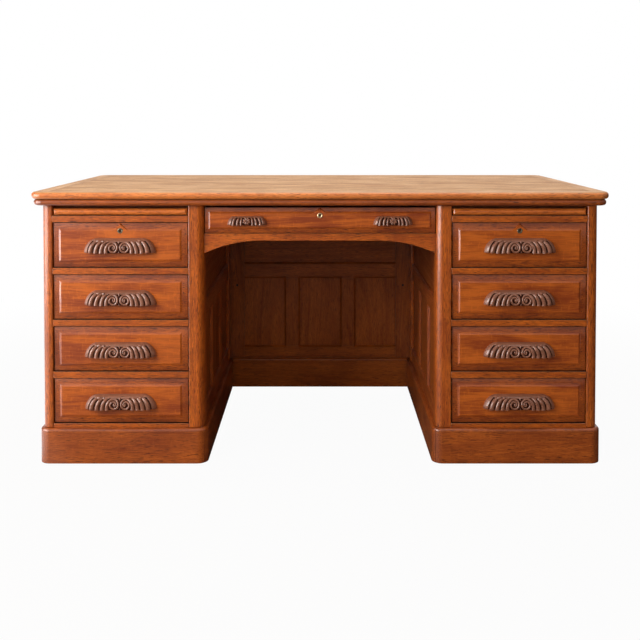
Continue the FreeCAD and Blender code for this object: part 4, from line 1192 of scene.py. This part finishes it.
def screw_set_group() -> bpy.types.NodeTree:
    """Build the tree that sets a screw on each point, turned to the point's own direction.

    Returns:
        A Geometry Nodes tree with the inputs Screw and Metal.
    """
    tree, given, out = new_group("set screws", {"Points": "NodeSocketGeometry", "Screw": "NodeSocketObject",
                                                "Metal": "NodeSocketMaterial"},
                                 {"Screws": "NodeSocketGeometry"}, "GeometryNodeTree")
    direction = tree.node("GeometryNodeInputNamedAttribute", {"Name": "direction"}, data_type="FLOAT_VECTOR")
    turn = tree.node("FunctionNodeAlignRotationToVector", {"Vector": direction.outputs["Attribute"]}, axis="Y")
    screw = tree.node("GeometryNodeObjectInfo", {"Object": given["Screw"]}, transform_space="ORIGINAL")
    scatter = tree.node("GeometryNodeInstanceOnPoints", {
        "Points": given["Points"], "Instance": screw.outputs["Geometry"], "Rotation": turn.outputs["Rotation"]})
    real = tree.node("GeometryNodeRealizeInstances", {"Geometry": scatter.outputs["Instances"]})
    paint = tree.node("GeometryNodeSetMaterial", {"Geometry": real.outputs["Geometry"],
                                                  "Material": given["Metal"]})
    tree.feed(out, {"Screws": paint.outputs["Geometry"]})
    return tree.tree


@dataclass
class Screws:
    """Countersunk screws with a slot in the head."""

    head_radius: float = 4.2 * MM
    head_depth: float = 3.0 * MM
    head_inset: float = 0.05 * MM
    head_rim: float = 0.3 * MM
    shank_radius: float = 2.0 * MM
    length: float = 32.0 * MM
    point_length: float = 4.0 * MM
    slot_width: float = 0.9 * MM
    slot_depth: float = 1.0 * MM
    threads: int = 9

    def screw_mesh(self) -> bpy.types.Mesh:
        """Return one screw along +Y, with its slotted head at the origin."""
        slot, shank = self.slot_width / 2, self.shank_radius
        rows = [(0.0, self.slot_depth), (slot, self.slot_depth), (slot, self.head_inset),
                (self.head_radius * 0.93, self.head_inset), (self.head_radius, self.head_rim),
                (shank, self.head_depth), (shank, self.length * 0.45)]
        start, end = self.length * 0.47, self.length - self.point_length
        for i in range(self.threads * 2):
            reach = start + (end - start) * i / (self.threads * 2)
            rows.append((shank * (0.98 if i % 2 else 0.72), reach))
        return mesh_from(lathe(rows + [(shank * 0.7, end), (0.0, self.length)], 16), "screw")

    def make(self) -> None:
        """Make all the screws where the CAD has them."""
        node = "fixing_screws"
        heads, directions = [], []
        for solid in solids_of(node):
            low, high = box_of(positions(solid))
            along = int(np.argmax(high - low))
            head = (low + high) / 2
            head[along] = low[along]
            heads.append(tuple(head))
            directions.append([float(axis == along) for axis in range(3)])
        spots = bpy.data.meshes.new("screw_spots")
        spots.from_pydata(heads, [], [])
        write_attribute(spots, "direction", np.array(directions))
        template = new_object("screw_pattern", self.screw_mesh())
        piece = run_tree(new_object("screw_spots", spots), screw_set_group(),
                         {"Screw": template, "Metal": Finish.NEARLY_BLACK_STEEL.material()}, node + "_metal")
        bpy.data.objects.remove(template)
        dress(piece, node)


# Studio

@dataclass(frozen=True)
class Lamp:
    """A soft lamp, a bright upright rectangle at a place that faces a target.

    mirrored says whether gloss shows it, lights whether it lights dull surfaces.
    """

    name: str
    place: Point
    target: Point
    size: Span
    power: float
    colour: Colour = (1.0, 1.0, 1.0)
    mirrored: bool = True
    lights: bool = True

    def add(self) -> None:
        """Add the lamp to the scene."""
        data = bpy.data.lights.new(self.name, "AREA")
        data.shape = "RECTANGLE"
        data.size, data.size_y = self.size
        data.energy = self.power
        data.color = self.colour
        item = new_object(self.name, data)
        item.location = self.place
        item.visible_glossy = self.mirrored
        item.visible_diffuse = self.lights
        item.rotation_euler = (Vector(self.target) - Vector(self.place)).to_track_quat("-Z", "Y").to_euler()


LAMPS = (Lamp("window at the left", (-2.0, -1.9, 1.55), (0.0, -0.3, 0.45), (1.6, 1.4), 60.0,
              (1.0, 0.985, 0.96), mirrored=False),
         Lamp("window in the varnish", (-2.9, -2.45, 1.12), (0.0, -2.45, 1.12), (4.0, 2.2), 320.0,
              lights=False),
         Lamp("soft light in front", (-0.3, -4.8, 1.7), (0.0, 0.0, 0.5), (2.0, 1.8), 36.0, mirrored=False),
         Lamp("light from above", (0.2, 0.1, 3.4), (0.0, 0.0, 0.7), (2.4, 2.4), 72.0))


@dataclass
class Studio:
    """Camera, lamps, white surroundings and floor."""

    camera_distance: float = 2.940
    camera_height: float = 0.9546
    pitch: float = math.radians(1.6)
    sensor: float = 36.0
    lens: float = 51.54
    shift: float = -0.2688
    view_end: float = 60.0
    # Brightness of the room's parts, and where each fades in along the direction ahead or up
    ambient: float = 0.05
    sky: float = 0.12
    sky_span: Span = (-0.1, 0.8)
    room_in_front: float = 0.03
    far_span: Span = (0.55, 0.95)
    near_span: Span = (0.25, -0.05)
    horizon_band: float = 0.75
    band_foot: Span = (-0.10, 0.0)
    band_head: Span = (0.26, 0.42)
    above_band: float = 0.35
    ceiling: float = 1.2
    ceiling_span: Span = (0.25, 0.80)
    # The floor, and the slant and edge of its part by the window
    floor_reach: float = 9.0
    floor_colour: Colour = (0.36, 0.31, 0.27)
    floor_in_gloss: Colour = (0.09, 0.065, 0.05)
    floor_white: float = 0.96
    white_span: Span = (1.0, 2.6)
    floor_by_window: float = 2.4
    window_slant: float = 0.47
    window_span: Span = (0.45, 0.75)

    def make_camera(self) -> None:
        """Place the camera where the photograph was taken from."""
        data = bpy.data.cameras.new("camera")
        data.sensor_width = self.sensor
        data.sensor_fit = "HORIZONTAL"
        data.lens = self.lens
        data.shift_y = self.shift
        data.clip_end = self.view_end
        item = new_object("camera", data)
        item.location = (0.0, -self.camera_distance, self.camera_height)
        item.rotation_euler = (math.pi / 2 - self.pitch, 0.0, 0.0)
        bpy.context.scene.camera = item

    def make_world(self) -> None:
        """Surround the desk with a dim room whose far side is white, and show white to the camera."""
        world = bpy.data.worlds.new("studio")
        bpy.context.scene.world = world
        world.use_nodes = True
        world.node_tree.nodes.clear()
        tree = Tree(world.node_tree)
        path = tree.node("ShaderNodeLightPath").outputs
        _, ahead, up = tree.split(tree.node("ShaderNodeTexCoord").outputs["Generated"])
        behind_desk = tree.remap(ahead, *self.far_span, self.room_in_front, 1.0, smooth=True)
        in_front = tree.remap(ahead, *self.near_span, smooth=True)
        band = tree.minus(tree.remap(up, *self.band_foot, 0.0, self.horizon_band, smooth=True),
                          tree.remap(up, *self.band_head, 0.0, self.horizon_band - self.above_band,
                                     smooth=True))
        above = tree.remap(up, *self.ceiling_span, 0.0, self.ceiling, smooth=True)
        mirror = tree.times(path["Is Glossy Ray"],
                            tree.largest(behind_desk, tree.times(band, in_front), above))
        ambient = tree.add(self.ambient, tree.times(tree.remap(up, *self.sky_span), self.sky))
        strength = tree.add(mirror, tree.times(ambient, tree.minus(1.0, path["Is Glossy Ray"])))
        seen = tree.largest(path["Is Camera Ray"], path["Is Transmission Ray"])
        strength = tree.add(tree.times(strength, tree.minus(1.0, seen)), seen)
        light = tree.node("ShaderNodeBackground", {"Color": (1.0, 1.0, 1.0), "Strength": strength})
        tree.node("ShaderNodeOutputWorld", {"Surface": light.outputs["Background"]})

    def make_floor(self) -> None:
        """Lay a pale floor that looks white and keeps the desk's shadow."""
        mesh = bpy.data.meshes.new("floor")
        corners = ((-1, -1), (1, -1), (1, 1), (-1, 1))
        mesh.from_pydata([(x * self.floor_reach, y * self.floor_reach, 0) for x, y in corners],
                         [], [(0, 1, 2, 3)])
        floor = new_object("floor", mesh)
        material, tree = new_material("pale floor")
        tree.tree.nodes.clear()
        path = tree.node("ShaderNodeLightPath").outputs
        plain = tree.node("ShaderNodeBsdfDiffuse", {
            "Color": tree.blend(path["Is Glossy Ray"], self.floor_colour, self.floor_in_gloss)})
        white = tree.node("ShaderNodeEmission", {"Strength": 1.0})
        place = tree.node("ShaderNodeTexCoord").outputs["Object"]
        away = tree.node("ShaderNodeVectorMath", {0: place}, operation="LENGTH").outputs["Value"]
        white_share = tree.remap(away, *self.white_span, self.floor_white, 1.0, smooth=True)
        surface = tree.blend_shaders(tree.times(path["Is Camera Ray"], white_share),
                                     plain.outputs[0], white.outputs[0])
        # Varnish also shows the bright floor at the left, below the window
        across, back, _ = tree.split(place)
        beside = tree.minus(tree.times(back, self.window_slant), across)
        lit = tree.remap(beside, *self.window_span, smooth=True)
        glow = tree.node("ShaderNodeEmission", {"Strength": self.floor_by_window})
        surface = tree.blend_shaders(tree.times(path["Is Glossy Ray"], lit), surface, glow.outputs[0])
        tree.node("ShaderNodeOutputMaterial", {"Surface": surface})
        mesh.materials.append(material)

    def make(self) -> None:
        """Set up the whole studio."""
        bpy.context.scene.view_settings.view_transform = "Standard"
        self.make_camera()
        self.make_world()
        self.make_floor()
        for lamp in LAMPS:
            lamp.add()


def main() -> None:
    """Dress the desk, piece by piece, and report each one."""
    logging.basicConfig(level=logging.INFO, format="%(message)s")
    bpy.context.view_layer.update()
    Studio().make()
    work = BoardWork()
    make_wood(work)
    Handles().make()
    LockWork(work).make()
    Screws().make()


if __name__ == "__main__":
    main()
